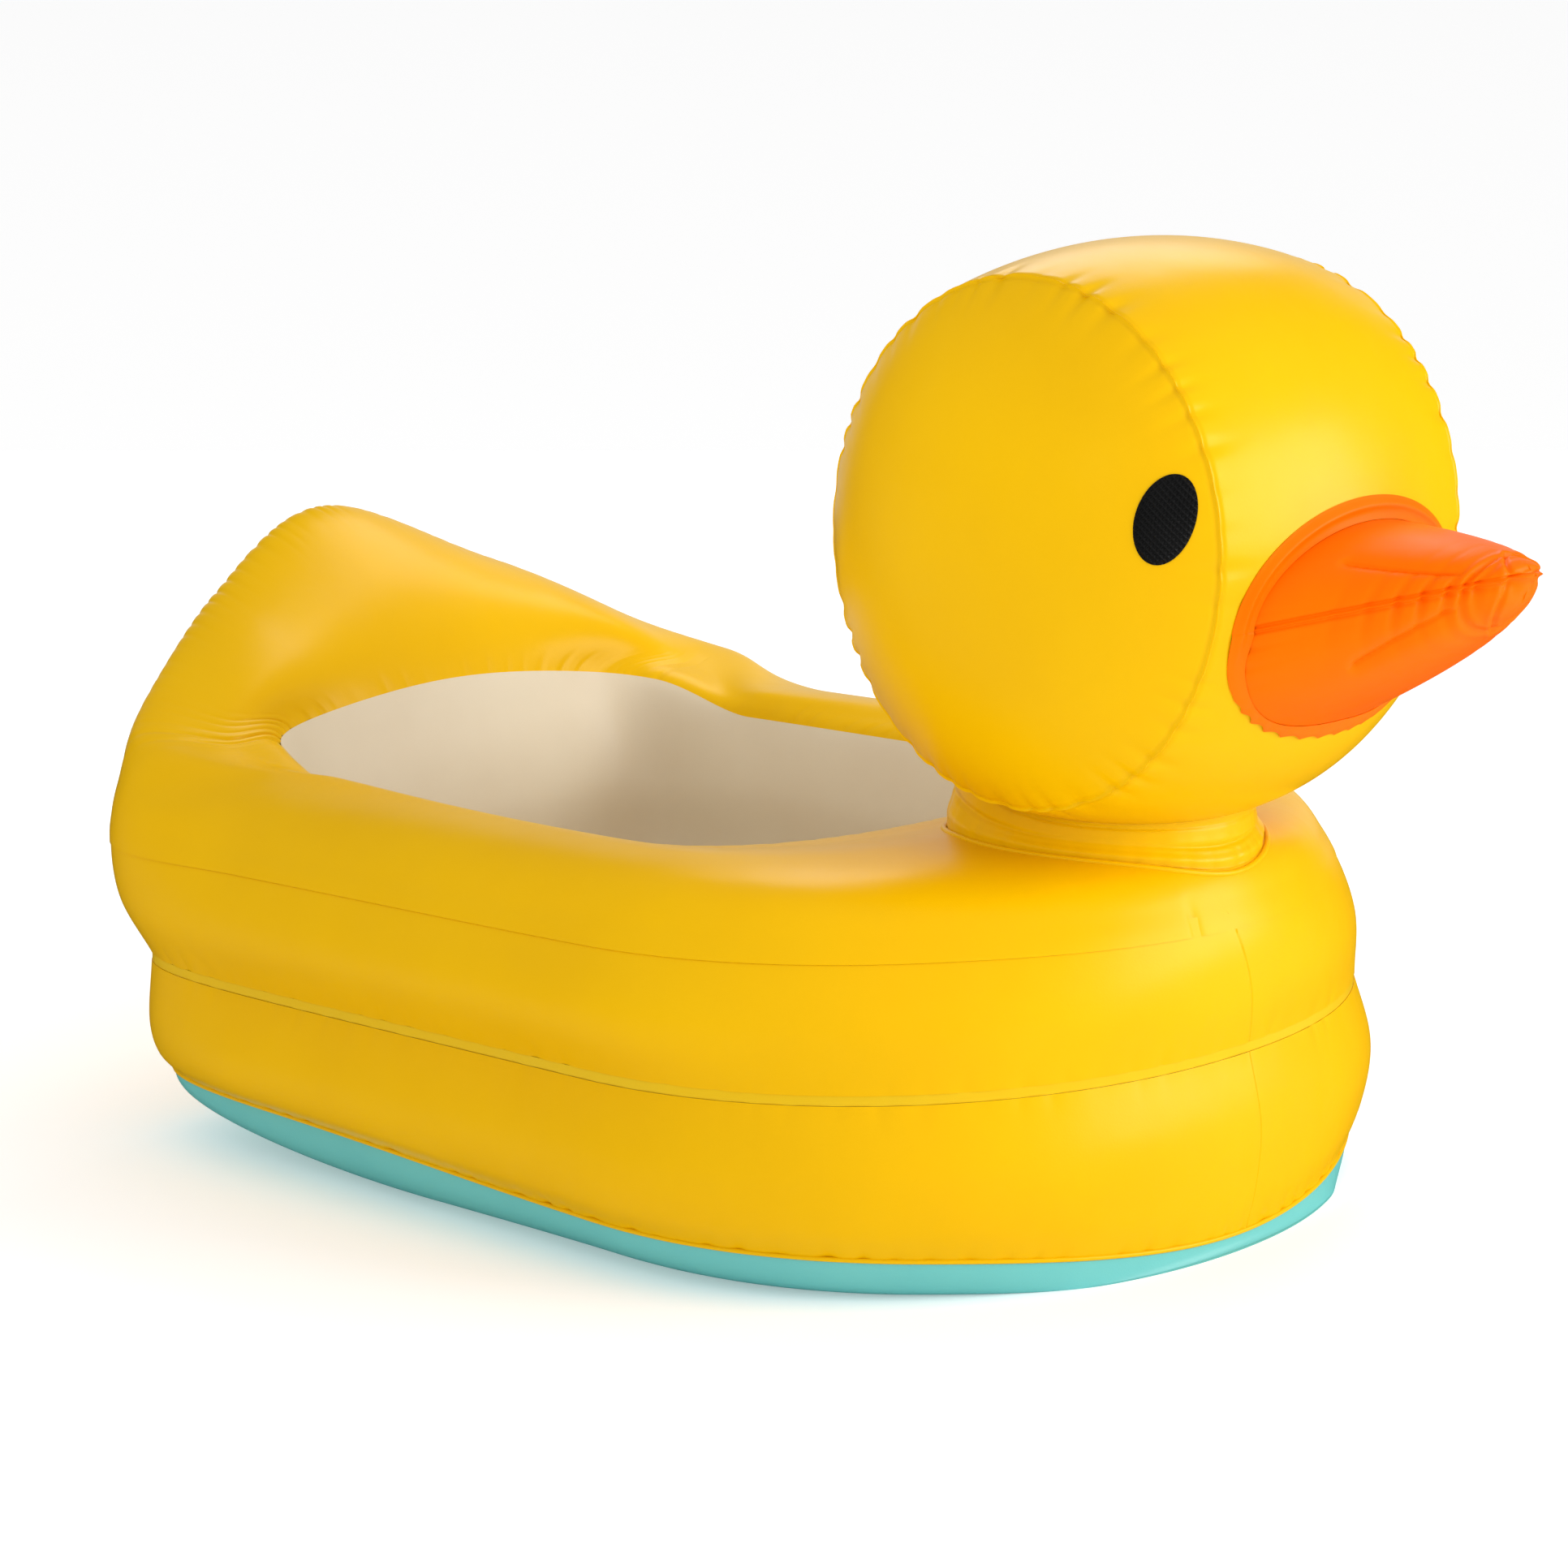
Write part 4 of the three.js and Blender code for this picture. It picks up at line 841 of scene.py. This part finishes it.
# Rings
def column_shares():
    """Places round the rings, closer together at the front seam and round the tail."""
    fine = np.linspace(0, 1, OUTLINE_STEPS + 1)
    along = 1 - np.abs(1 - 2 * fine)
    density = (1 + FRONT_FINENESS * bell(along, 0, 2 * FRONT_FINE_SHARE)
               + TAIL_FINENESS * smooth_step((along - HIP) / (CORNER - HIP)))
    count = np.concatenate([[0], np.cumsum((density[1:] + density[:-1]) / 2)])
    return np.interp(np.arange(RING_COLUMNS) / RING_COLUMNS, count / count[-1], fine)


ring_shares = column_shares()
upper = upper_knots(ring_shares)
lower = lower_knots(ring_shares)


def add_top_sheet():
    """The sheet over the rim: a lap at its outer seam, a pleat, and folds at its seams."""
    places = rows_between(place_at(upper, TOP_SEAM_KNOT, -LAP_WIDTH), RIM_SEAM_KNOT, TOP_ROWS)
    share = np.broadcast_to(ring_shares, places.shape)
    from_seam = distance_from(upper, TOP_SEAM_KNOT, places)
    from_crest = distance_from(upper, CREST_KNOT, places)
    from_rim = distance_from(upper, RIM_SEAM_KNOT, places)
    relief = puckers(share, from_rim, *RIM_FOLDS)
    relief += puckers(share, from_crest, *CREST_FOLDS) * near(share, *CREST_FOLDS_AT)
    part = np.where(share > 0.5, 1, FAR_CORNER_PART)
    relief += part * puckers(share, from_rim, *CORNER_FOLDS) * near(share, *CORNER_FOLDS_AT)
    relief += LAP_LIFT * smooth_step(1 - from_seam / LAP_FADE)
    relief -= (PLEAT_DEPTH * bell(ring_shares, *PLEAT_AT)
               * smooth_step(1 - from_seam / PLEAT_REACH))
    points = displaced(curve_points(upper, places), relief)
    return add_sheet("upper_ring_top", points, "yellow_vinyl", "upper_ring_top_panel")


def add_upper_side():
    places = rows_between(0, place_at(upper, TOP_SEAM_KNOT, LAP_WIDTH), SIDE_ROWS)
    share = np.broadcast_to(ring_shares, places.shape)
    relief = puckers(share, distance_from(upper, 0, places), *UPPER_WAIST_FOLDS)
    relief += overlap(ring_shares + OVERLAP_SLANT * places)
    points = with_valve_place(displaced(curve_points(upper, places), relief), "upper_ring")
    add_sheet("upper_ring_side", points, "yellow_vinyl", "upper_ring_side_panel")


def add_basin_wall():
    points = curve_points(upper, rows_between(RIM_SEAM_KNOT, FLOOR_KNOT, LINER_ROWS))
    add_sheet("basin_wall", points, "white_vinyl", "basin_liner")


def add_lower_side():
    places = rows_between(0, LOWER_WAIST_KNOT, LOWER_ROWS)
    share = np.broadcast_to(ring_shares, places.shape)
    relief = puckers(share, distance_from(lower, LOWER_WAIST_KNOT, places),
                     *LOWER_WAIST_FOLDS)
    relief += puckers(share, distance_from(lower, 0, places), *BASE_FOLDS)
    relief += overlap(ring_shares)
    points = with_valve_place(displaced(curve_points(lower, places), relief), "lower_ring")
    add_sheet("lower_ring_side", points, "yellow_vinyl", "lower_ring_side_panel")


def add_ring_welds():
    band = np.stack([waist_point(ring_shares, -SKIN, height)
                     for height in np.linspace(BAND_BOTTOM, BAND_TOP, BAND_ROWS)])
    add_sheet("waist_weld", band, "weld_vinyl", "waist_weld_band")
    seam = waist_point(ring_shares, -base_seam_inset(ring_shares),
                       base_seam_height(ring_shares))
    add_object("base_seam", *tube_mesh(seam, BASE_BEAD_RADIUS, BASE_BEAD_SIDES),
               "yellow_vinyl", "base_seam_bead")


def add_base():
    """The underside, with a quarter round up to its seam, and the floor that lies on it."""
    seam_inset = base_seam_inset(ring_shares)
    seam_height = base_seam_height(ring_shares)
    run = base_foot_inset(ring_shares) - seam_inset
    foot_height = lifted(waist_point(ring_shares, -base_foot_inset(ring_shares), 0))[..., 2]
    rows = []
    for angle in np.linspace(0, pi / 2, TURN_ROWS):
        inset = seam_inset + run * (1 - cos(angle))
        rows.append(waist_point(ring_shares, -inset,
                                mix(seam_height, foot_height, sin(angle))))
    foot = rows[-1]
    middle = np.array([BASIN_MIDDLE_X, 0.0, 0.0])
    parts = np.linspace(0, FLAT_END, FLAT_ROWS)
    rows += [lifted(mix(foot, middle, part)) for part in parts[1:]]
    points = np.stack(rows)
    add_sheet("underside", points, "aqua_vinyl", "base_sheet", flip=True, pole=middle)
    rim = basin_point(ring_shares, 1, SEAM_GAP, 0)
    points = np.stack([lifted(mix(rim, middle, part), FLOOR_HEIGHT) for part in parts])
    add_sheet("basin_floor", points, "white_vinyl", "basin_floor_sheet",
              pole=middle + [0, 0, FLOOR_HEIGHT])


# Head
head_angles = 2 * pi * (np.arange(HEAD_COLUMNS) / HEAD_COLUMNS)


def strip_point(angle, y, lift=0.0):
    """A point of the centre strip, which bulges between its seams, most at the chin."""
    chin = turn_bell(angle, CHIN_ANGLE, CHIN_SPREAD)
    fullness = HEAD_STRIP_BULGE + CHIN_BULGE * chin
    bulge = fullness * (1 - (y / HEAD_SEAM_Y) ** 2) + lift
    return np.stack([HEAD_MIDDLE[0] + (HEAD_RADIUS_X + bulge) * np.cos(angle),
                     y + 0 * angle,
                     HEAD_MIDDLE[2] + (HEAD_RADIUS_Z + bulge) * np.sin(angle)], -1)


def dome_normal(side, x, z, reach):
    fall = HEAD_DOME * (DOME_FULLNESS - 1 - 2 * DOME_FULLNESS * reach ** 2)
    return unit(np.stack([-fall * 2 * x / HEAD_RADIUS_X ** 2, side + 0 * x,
                          -fall * 2 * z / HEAD_RADIUS_Z ** 2], -1))


def head_relief(share, distance):
    """Folds, ridge and groove of the seams between the strip and the sides."""
    return (puckers(share, distance, *HEAD_FOLDS) - groove(distance, *HEAD_RIDGE)
            + groove(distance, *HEAD_GROOVE))


def dome_point(side, reach, angle, lift=0.0):
    """A point of a side panel, with the folds of its seam. Reach is 1 at the seam."""
    x = HEAD_RADIUS_X * reach * np.cos(angle)
    z = HEAD_RADIUS_Z * reach * np.sin(angle)
    height = HEAD_DOME * (1 - reach ** 2) * (1 + DOME_FULLNESS * reach ** 2)
    base = np.stack([HEAD_MIDDLE[0] + x, side * (HEAD_SEAM_Y + height),
                     HEAD_MIDDLE[2] + z], -1)
    distance = (1 - reach) * DOME_ARC * HEAD_RADIUS_X
    relief = head_relief(angle / (2 * pi), distance) + lift
    return base + dome_normal(side, x, z, reach) * relief[..., None]


def strip_point_where(axis, value, y, lowest, lift=0.0):
    """The point of the strip with a given x or z, which grows with the angle."""
    low = np.full(np.shape(value), lowest)
    high = low + pi
    for _ in range(BISECTIONS):
        middle = (low + high) / 2
        below = strip_point(middle, y, lift)[..., axis] < value
        low, high = np.where(below, middle, low), np.where(below, high, middle)
    return strip_point(low, y, lift)


def head_underside(x, y):
    return strip_point_where(0, x, y, -pi)[..., 2]


def add_head():
    reach = 1 - np.linspace(0, 1, DOME_ROWS)[:-1] ** DOME_CROWDING
    grid_reach, grid_angle = np.meshgrid(reach, head_angles, indexing="ij")
    for name, side in (("right", -1), ("left", 1)):
        points = dome_point(side, grid_reach, grid_angle)
        pole = np.array([HEAD_MIDDLE[0], side * (HEAD_SEAM_Y + HEAD_DOME), HEAD_MIDDLE[2]])
        add_sheet("head_" + name + "_side", points, "yellow_vinyl",
                  "head_" + name + "_panel", flip=side > 0, pole=pole)
    part = np.linspace(-1, 1, STRIP_ROWS)
    y = HEAD_SEAM_Y * np.sign(part) * (1 - (1 - np.abs(part)) ** STRIP_CROWDING)
    grid_y, grid_angle = np.meshgrid(y, head_angles, indexing="ij")
    relief = head_relief(grid_angle / (2 * pi), HEAD_SEAM_Y - np.abs(grid_y))
    points = displaced(strip_point(grid_angle, grid_y), relief, flip=True)
    add_sheet("head_strip", with_valve_place(points, "head"), "yellow_vinyl",
              "head_centre_strip", flip=True)


def eye_point(side, reach, angle, lift):
    across = EYE_HALF_WIDTH * reach * np.cos(angle)
    up = EYE_HALF_HEIGHT * reach * np.sin(angle)
    x = EYE_ALONG + across * cos(EYE_TILT) + up * sin(EYE_TILT)
    z = EYE_RISE + up * cos(EYE_TILT) - across * sin(EYE_TILT)
    x, z = x / HEAD_RADIUS_X, z / HEAD_RADIUS_Z
    return dome_point(side, np.hypot(x, z), np.arctan2(z, x), lift)


def add_eyes():
    angles = full_turn(EYE_COLUMNS)
    for name, side in (("right_eye", -1), ("left_eye", 1)):
        rows = []
        for reach in EYE_RINGS:
            lift = SKIN + EYE_THICKNESS * smooth_step((EYE_EDGE - reach) / EYE_EDGE_WIDTH)
            rows.append(eye_point(side, reach, angles, lift))
        pole = eye_point(side, 0.0, angles[:1], SKIN + EYE_THICKNESS)[0]
        add_sheet(name + "_patch", np.stack(rows), "black_vinyl", name, EYE_THICKNESS,
                  flip=side > 0, pole=pole)


# Neck
def height_finder(piece):
    """A function that gives the height of a piece's top at a place in plan."""
    mesh = piece.data
    tree = BVHTree.FromPolygons([v.co for v in mesh.vertices],
                                [p.vertices for p in mesh.polygons])

    def height(x, y):
        return tree.ray_cast(Vector((x, y, RAY_HEIGHT)), Vector((0, 0, -1)))[0].z
    return height


def add_neck(deck_height):
    """The neck from the deck to the head, with soft rolls, and its weld on the deck."""
    angles = full_turn(NECK_COLUMNS)

    def around(radius):
        return NECK_MIDDLE_X + radius * np.cos(angles), radius * np.sin(angles)

    def deck_around(radius):
        return np.array([deck_height(x, y) for x, y in zip(*around(radius))])
    foot_radius = NECK_RADIUS + NECK_FLARE
    foot = deck_around(foot_radius)
    creased = (CREASE_LEAST + turn_bell(angles, CREASE_ANGLE, CREASE_SPREAD)
               + turn_bell(angles, 0, CREASE_SPREAD))
    rows = []
    for part in np.linspace(0, 1, NECK_ROWS):
        roll = NECK_ROLL * bell(part, *NECK_ROLL_AT)
        pinch = NECK_ROLL * creased * bell(part, *NECK_PINCH_AT)
        collar = NECK_ROLL * bell(part, *NECK_COLLAR_AT)
        wrinkle = puckers(angles / (2 * pi), part * NECK_FOLD_RUN, *NECK_FOLDS)
        reach = NECK_RADIUS + NECK_FLARE * (1 - part) ** 2 + roll - pinch - collar / 2
        x, y = around(reach + wrinkle)
        z = mix(foot + SKIN, head_underside(x, y) + SHEET, part)
        rows.append(np.stack([x, y, z], -1))
    add_sheet("neck_sleeve", np.stack(rows), "yellow_vinyl", "neck_band")
    radius = foot_radius + NECK_BEAD_RADIUS
    loop = np.stack([*around(radius), deck_around(radius)], -1)
    add_object("neck_weld", *tube_mesh(loop, NECK_BEAD_RADIUS, NECK_BEAD_SIDES),
               "yellow_vinyl", "neck_weld_bead")


# Beak
def beak_base(angle, spread, lift):
    height = np.where(np.sin(angle) < 0, BEAK_LOWER_HEIGHT, BEAK_UPPER_HEIGHT)
    y = (BEAK_HALF_WIDTH + spread) * np.cos(angle)
    z = BEAK_MIDDLE_HEIGHT + (height + spread) * np.sin(angle)
    return strip_point_where(2, z, y, -pi / 2, lift)


def beak_spread(angle):
    """How far the foot of the lower beak swells over its flange, most at the two cheeks."""
    below = np.mod(angle, 2 * pi) - 1.5 * pi
    cheek = bell(np.abs(below), BEAK_CHEEK_ANGLE, BEAK_CHEEK_SPREAD)
    return ((BEAK_LOWER_SPREAD + BEAK_CHEEK * cheek)
            * smooth_step(-BEAK_SPREAD_GROWTH * np.sin(angle)))


def beak_point(angle, along):
    base = beak_base(angle, beak_spread(angle), SKIN + SHEET)
    middle = np.array([HEAD_MIDDLE[0] + HEAD_RADIUS_X, 0, BEAK_MIDDLE_HEIGHT])
    width = (1 - along) ** BEAK_WIDTH_TAPER
    taper = np.where(np.sin(angle) < 0, BEAK_LOWER_TAPER, BEAK_UPPER_TAPER)
    size = np.stack([width, width, (1 - along) ** taper], -1)
    return (base - middle) * size + mix(middle, BEAK_TIP, along[..., None])


def beak_gathers(right, along, from_seam, size):
    """Folds square to the seam that grow towards the tip."""
    drift = GATHER_DRIFT * np.sin(GATHER_COUNT * along + np.where(right, *GATHER_DRIFT_PHASES))
    phase = np.where(right, *GATHER_PHASES) + drift
    wave = fold_wave(2 * pi * GATHER_COUNT * along + phase)
    growth = (smooth_step((along - GATHER_START) / GATHER_GROWTH)
              * smooth_step((1 - along) / GATHER_END))
    reach = BEAK_FOLD_REACH * (GATHER_LEAST_REACH + (1 - GATHER_LEAST_REACH) * size)
    return BEAK_FOLD_DEPTH * wave * growth * np.exp(-(from_seam / reach) ** FOLD_FADE)


def beak_relief(angle, along):
    """Seam, gathers along it, folds of the tip, welded dimples and folds of the foot."""
    size = (1 - along) ** BEAK_UPPER_TAPER
    from_seam = np.abs(np.sin(angle)) * BEAK_UPPER_HEIGHT * size
    right = np.cos(angle) < 0
    relief = BEAK_SEAM_RIDGE * bell(from_seam, 0, SEAM_RIDGE)
    relief += groove(from_seam, *BEAK_GROOVE)
    relief -= beak_gathers(right, along, from_seam, size)
    relief -= (BEAK_FOLD_DEPTH * bell(along, *BEAK_PINCH_AT)
               * bell(from_seam, 0, BEAK_FOLD_REACH))
    fold = along - mix(TIP_FOLD_AT_SIDE, TIP_FOLD_AT_MIDDLE,
                       (1 - np.abs(np.cos(angle))) ** TIP_FOLD_CURVE)
    relief -= TIP_FOLD * bell(fold, 0, TIP_FOLD_WIDTH)
    relief += TIP_FOLD / 2 * bell(fold, *TIP_ROLL_AT)
    mirrored = np.where(right, angle, np.mod(pi - angle, 2 * pi))
    for (start_angle, start), (end_angle, end) in BEAK_DIMPLES:
        part = (along - start) / (end - start)
        across = (mirrored - mix(start_angle, end_angle, part)) * BEAK_HALF_WIDTH * size
        ends = (smooth_step(part * DIMPLE_END_GROWTH + 0.5)
                * smooth_step((1 - part) * DIMPLE_END_GROWTH + 0.5))
        relief += sum(groove(across, *form) for form in DIMPLE_GROOVES) * ends
    foot = np.exp(-along / FOOT_FOLD_REACH) * bell(mirrored, *FOOT_FOLDS_AT)
    return relief - FOOT_FOLD_DEPTH * foot * (0.5 + 0.5 * np.cos(FOOT_FOLD_COUNT * angle)) ** 2


def add_beak():
    along = 1 - (1 - np.linspace(0, 1, BEAK_ROWS)[:-1]) ** BEAK_CROWDING
    half_turn = pi * (0.5 - 0.5 * np.cos(np.linspace(0, pi, BEAK_COLUMNS)))
    for name, start in (("beak_upper", 0), ("beak_lower", pi)):
        grid_along, grid_angle = np.meshgrid(along, start + half_turn, indexing="ij")
        points = displaced(beak_point(grid_angle, grid_along),
                           beak_relief(grid_angle, grid_along), wrap=False)
        add_sheet(name, points, "orange_vinyl", name + "_panel", wrap=False, pole=BEAK_TIP)


def add_beak_flange():
    angles = full_turn(FLANGE_COLUMNS)
    below = smooth_step((-np.sin(angles) - SCALLOP_START) / SCALLOP_GROWTH)
    above = smooth_step((np.sin(angles) - FLANGE_ROLL_START) / FLANGE_ROLL_GROWTH)
    drift = SCALLOP_DRIFT * np.sin(SCALLOP_DRIFT_COUNT * angles)
    pleat = np.abs(np.sin(SCALLOP_COUNT * angles + drift))
    spread = beak_spread(angles)
    inner = spread + SEAM_GAP
    outer = FLANGE_WIDTH + FLANGE_SPREAD_PART * spread - FLANGE_SCALLOP * pleat * below
    step = JOINT_STEP * smooth_step((angles - JOINT_ANGLE) / JOINT_RISE)
    step *= smooth_step((JOINT_ANGLE + JOINT_FADE - angles) / JOINT_FADE)
    rows = []
    for part in np.linspace(0, 1, FLANGE_ROWS):
        lift = SKIN + FLANGE_THICKNESS * (1 - part ** FLANGE_EDGE_POWER) + step
        lift += FLANGE_ROLL * above * bell(part, *FLANGE_ROLL_AT)
        lift += FLANGE_SCALLOP / 2 * pleat * below * part
        rows.append(beak_base(angles, mix(inner, outer, part), lift))
    add_sheet("beak_weld_flange", np.stack(rows), "orange_vinyl", "beak_flange",
              FLANGE_THICKNESS / 2, flip=True)


# Studio
def add_floor():
    """A plain pale floor that glows a little, so that shadows on it stay soft."""
    material = bpy.data.materials.new("studio_floor")
    material.use_nodes = True
    set_inputs(material.node_tree.nodes["Principled BSDF"], Base_Color=FLOOR_COLOUR,
               Roughness=FLOOR_ROUGHNESS, Emission_Color=WHITE, Emission_Strength=FLOOR_GLOW)
    mesh = bpy.data.meshes.new("studio_floor")
    reach = FLOOR_REACH
    corners = [(-reach, -reach, 0), (reach, -reach, 0), (reach, reach, 0), (-reach, reach, 0)]
    mesh.from_pydata(corners, [], [(0, 1, 2, 3)])
    mesh.materials.append(material)
    floor = bpy.data.objects.new("studio_floor", mesh)
    scene.collection.objects.link(floor)
    floor.visible_glossy = False


def add_world():
    """A white studio, a little brighter towards the front and the top."""
    world = bpy.data.worlds.new("studio")
    scene.world = world
    world.use_nodes = True
    nodes = world.node_tree.nodes
    place = add_node(nodes, "TexCoord")
    turned = add_node(nodes, "VectorMath")
    turned.operation = "DOT_PRODUCT"
    turned.inputs[1].default_value = WORLD_AXIS
    strength = add_node(nodes, "MapRange", From_Min=-1,
                        To_Min=WORLD_LIGHT - WORLD_SPREAD, To_Max=WORLD_LIGHT + WORLD_SPREAD)
    join(place, "Generated", turned, 0)
    join(turned, "Value", strength, "Value")
    join(strength, "Result", nodes["Background"], "Strength")
    set_inputs(nodes["Background"], Color=WHITE)
    world.cycles_visibility.glossy = False


def aimed(thing, place, target):
    """An object of a light or camera at a place, turned towards a target."""
    holder = bpy.data.objects.new(thing.name, thing)
    holder.location = place
    direction = Vector(target) - Vector(place)
    holder.rotation_euler = direction.to_track_quat("-Z", "Y").to_euler()
    scene.collection.objects.link(holder)
    return holder


def add_light(name, place, target, size, power, spread=180, glossy=True):
    light = bpy.data.lights.new(name, "AREA")
    light.shape = "RECTANGLE"
    light.size, light.size_y = size
    light.energy = power
    light.spread = radians(spread)
    lamp = aimed(light, place, target)
    lamp.visible_glossy = glossy
    lamp.visible_camera = False


def add_lights():
    add_light("key", (1.9, 1.0, 0.75), (0.25, 0, 0.25), (1.5, 1.0), 28)
    add_light("back", (-0.5, 0.9, 1.25), (-0.3, 0, 0.25), (0.8, 0.6), 4)
    add_light("backdrop", (-2.2, 2.5, 0.9), (0, 0, 0.3), (4, 2), 14)
    add_light("head_fill", (0.55, -1.55, 0.85), (0.2, -0.05, 0.33), (0.5, 0.5), 0.13,
              spread=18, glossy=False)


def add_camera():
    camera = bpy.data.cameras.new("camera")
    camera.lens = CAMERA_LENS
    camera.sensor_width = CAMERA_SENSOR
    scene.camera = aimed(camera, CAMERA_PLACE, CAMERA_AIM)


add_camera()
add_floor()
add_world()
add_lights()
scene.view_settings.view_transform = "Standard"
top_sheet = add_top_sheet()
add_upper_side()
add_basin_wall()
add_lower_side()
add_ring_welds()
add_base()
add_head()
add_eyes()
add_neck(height_finder(top_sheet))
add_beak()
add_beak_flange()
for valve_name in ("upper_ring", "lower_ring", "head"):
    add_valve(valve_name)
divider = frame["nodes"]["ring_divider_sheet"].data
divider.materials.clear()
divider.materials.append(vinyls["clear_vinyl"])
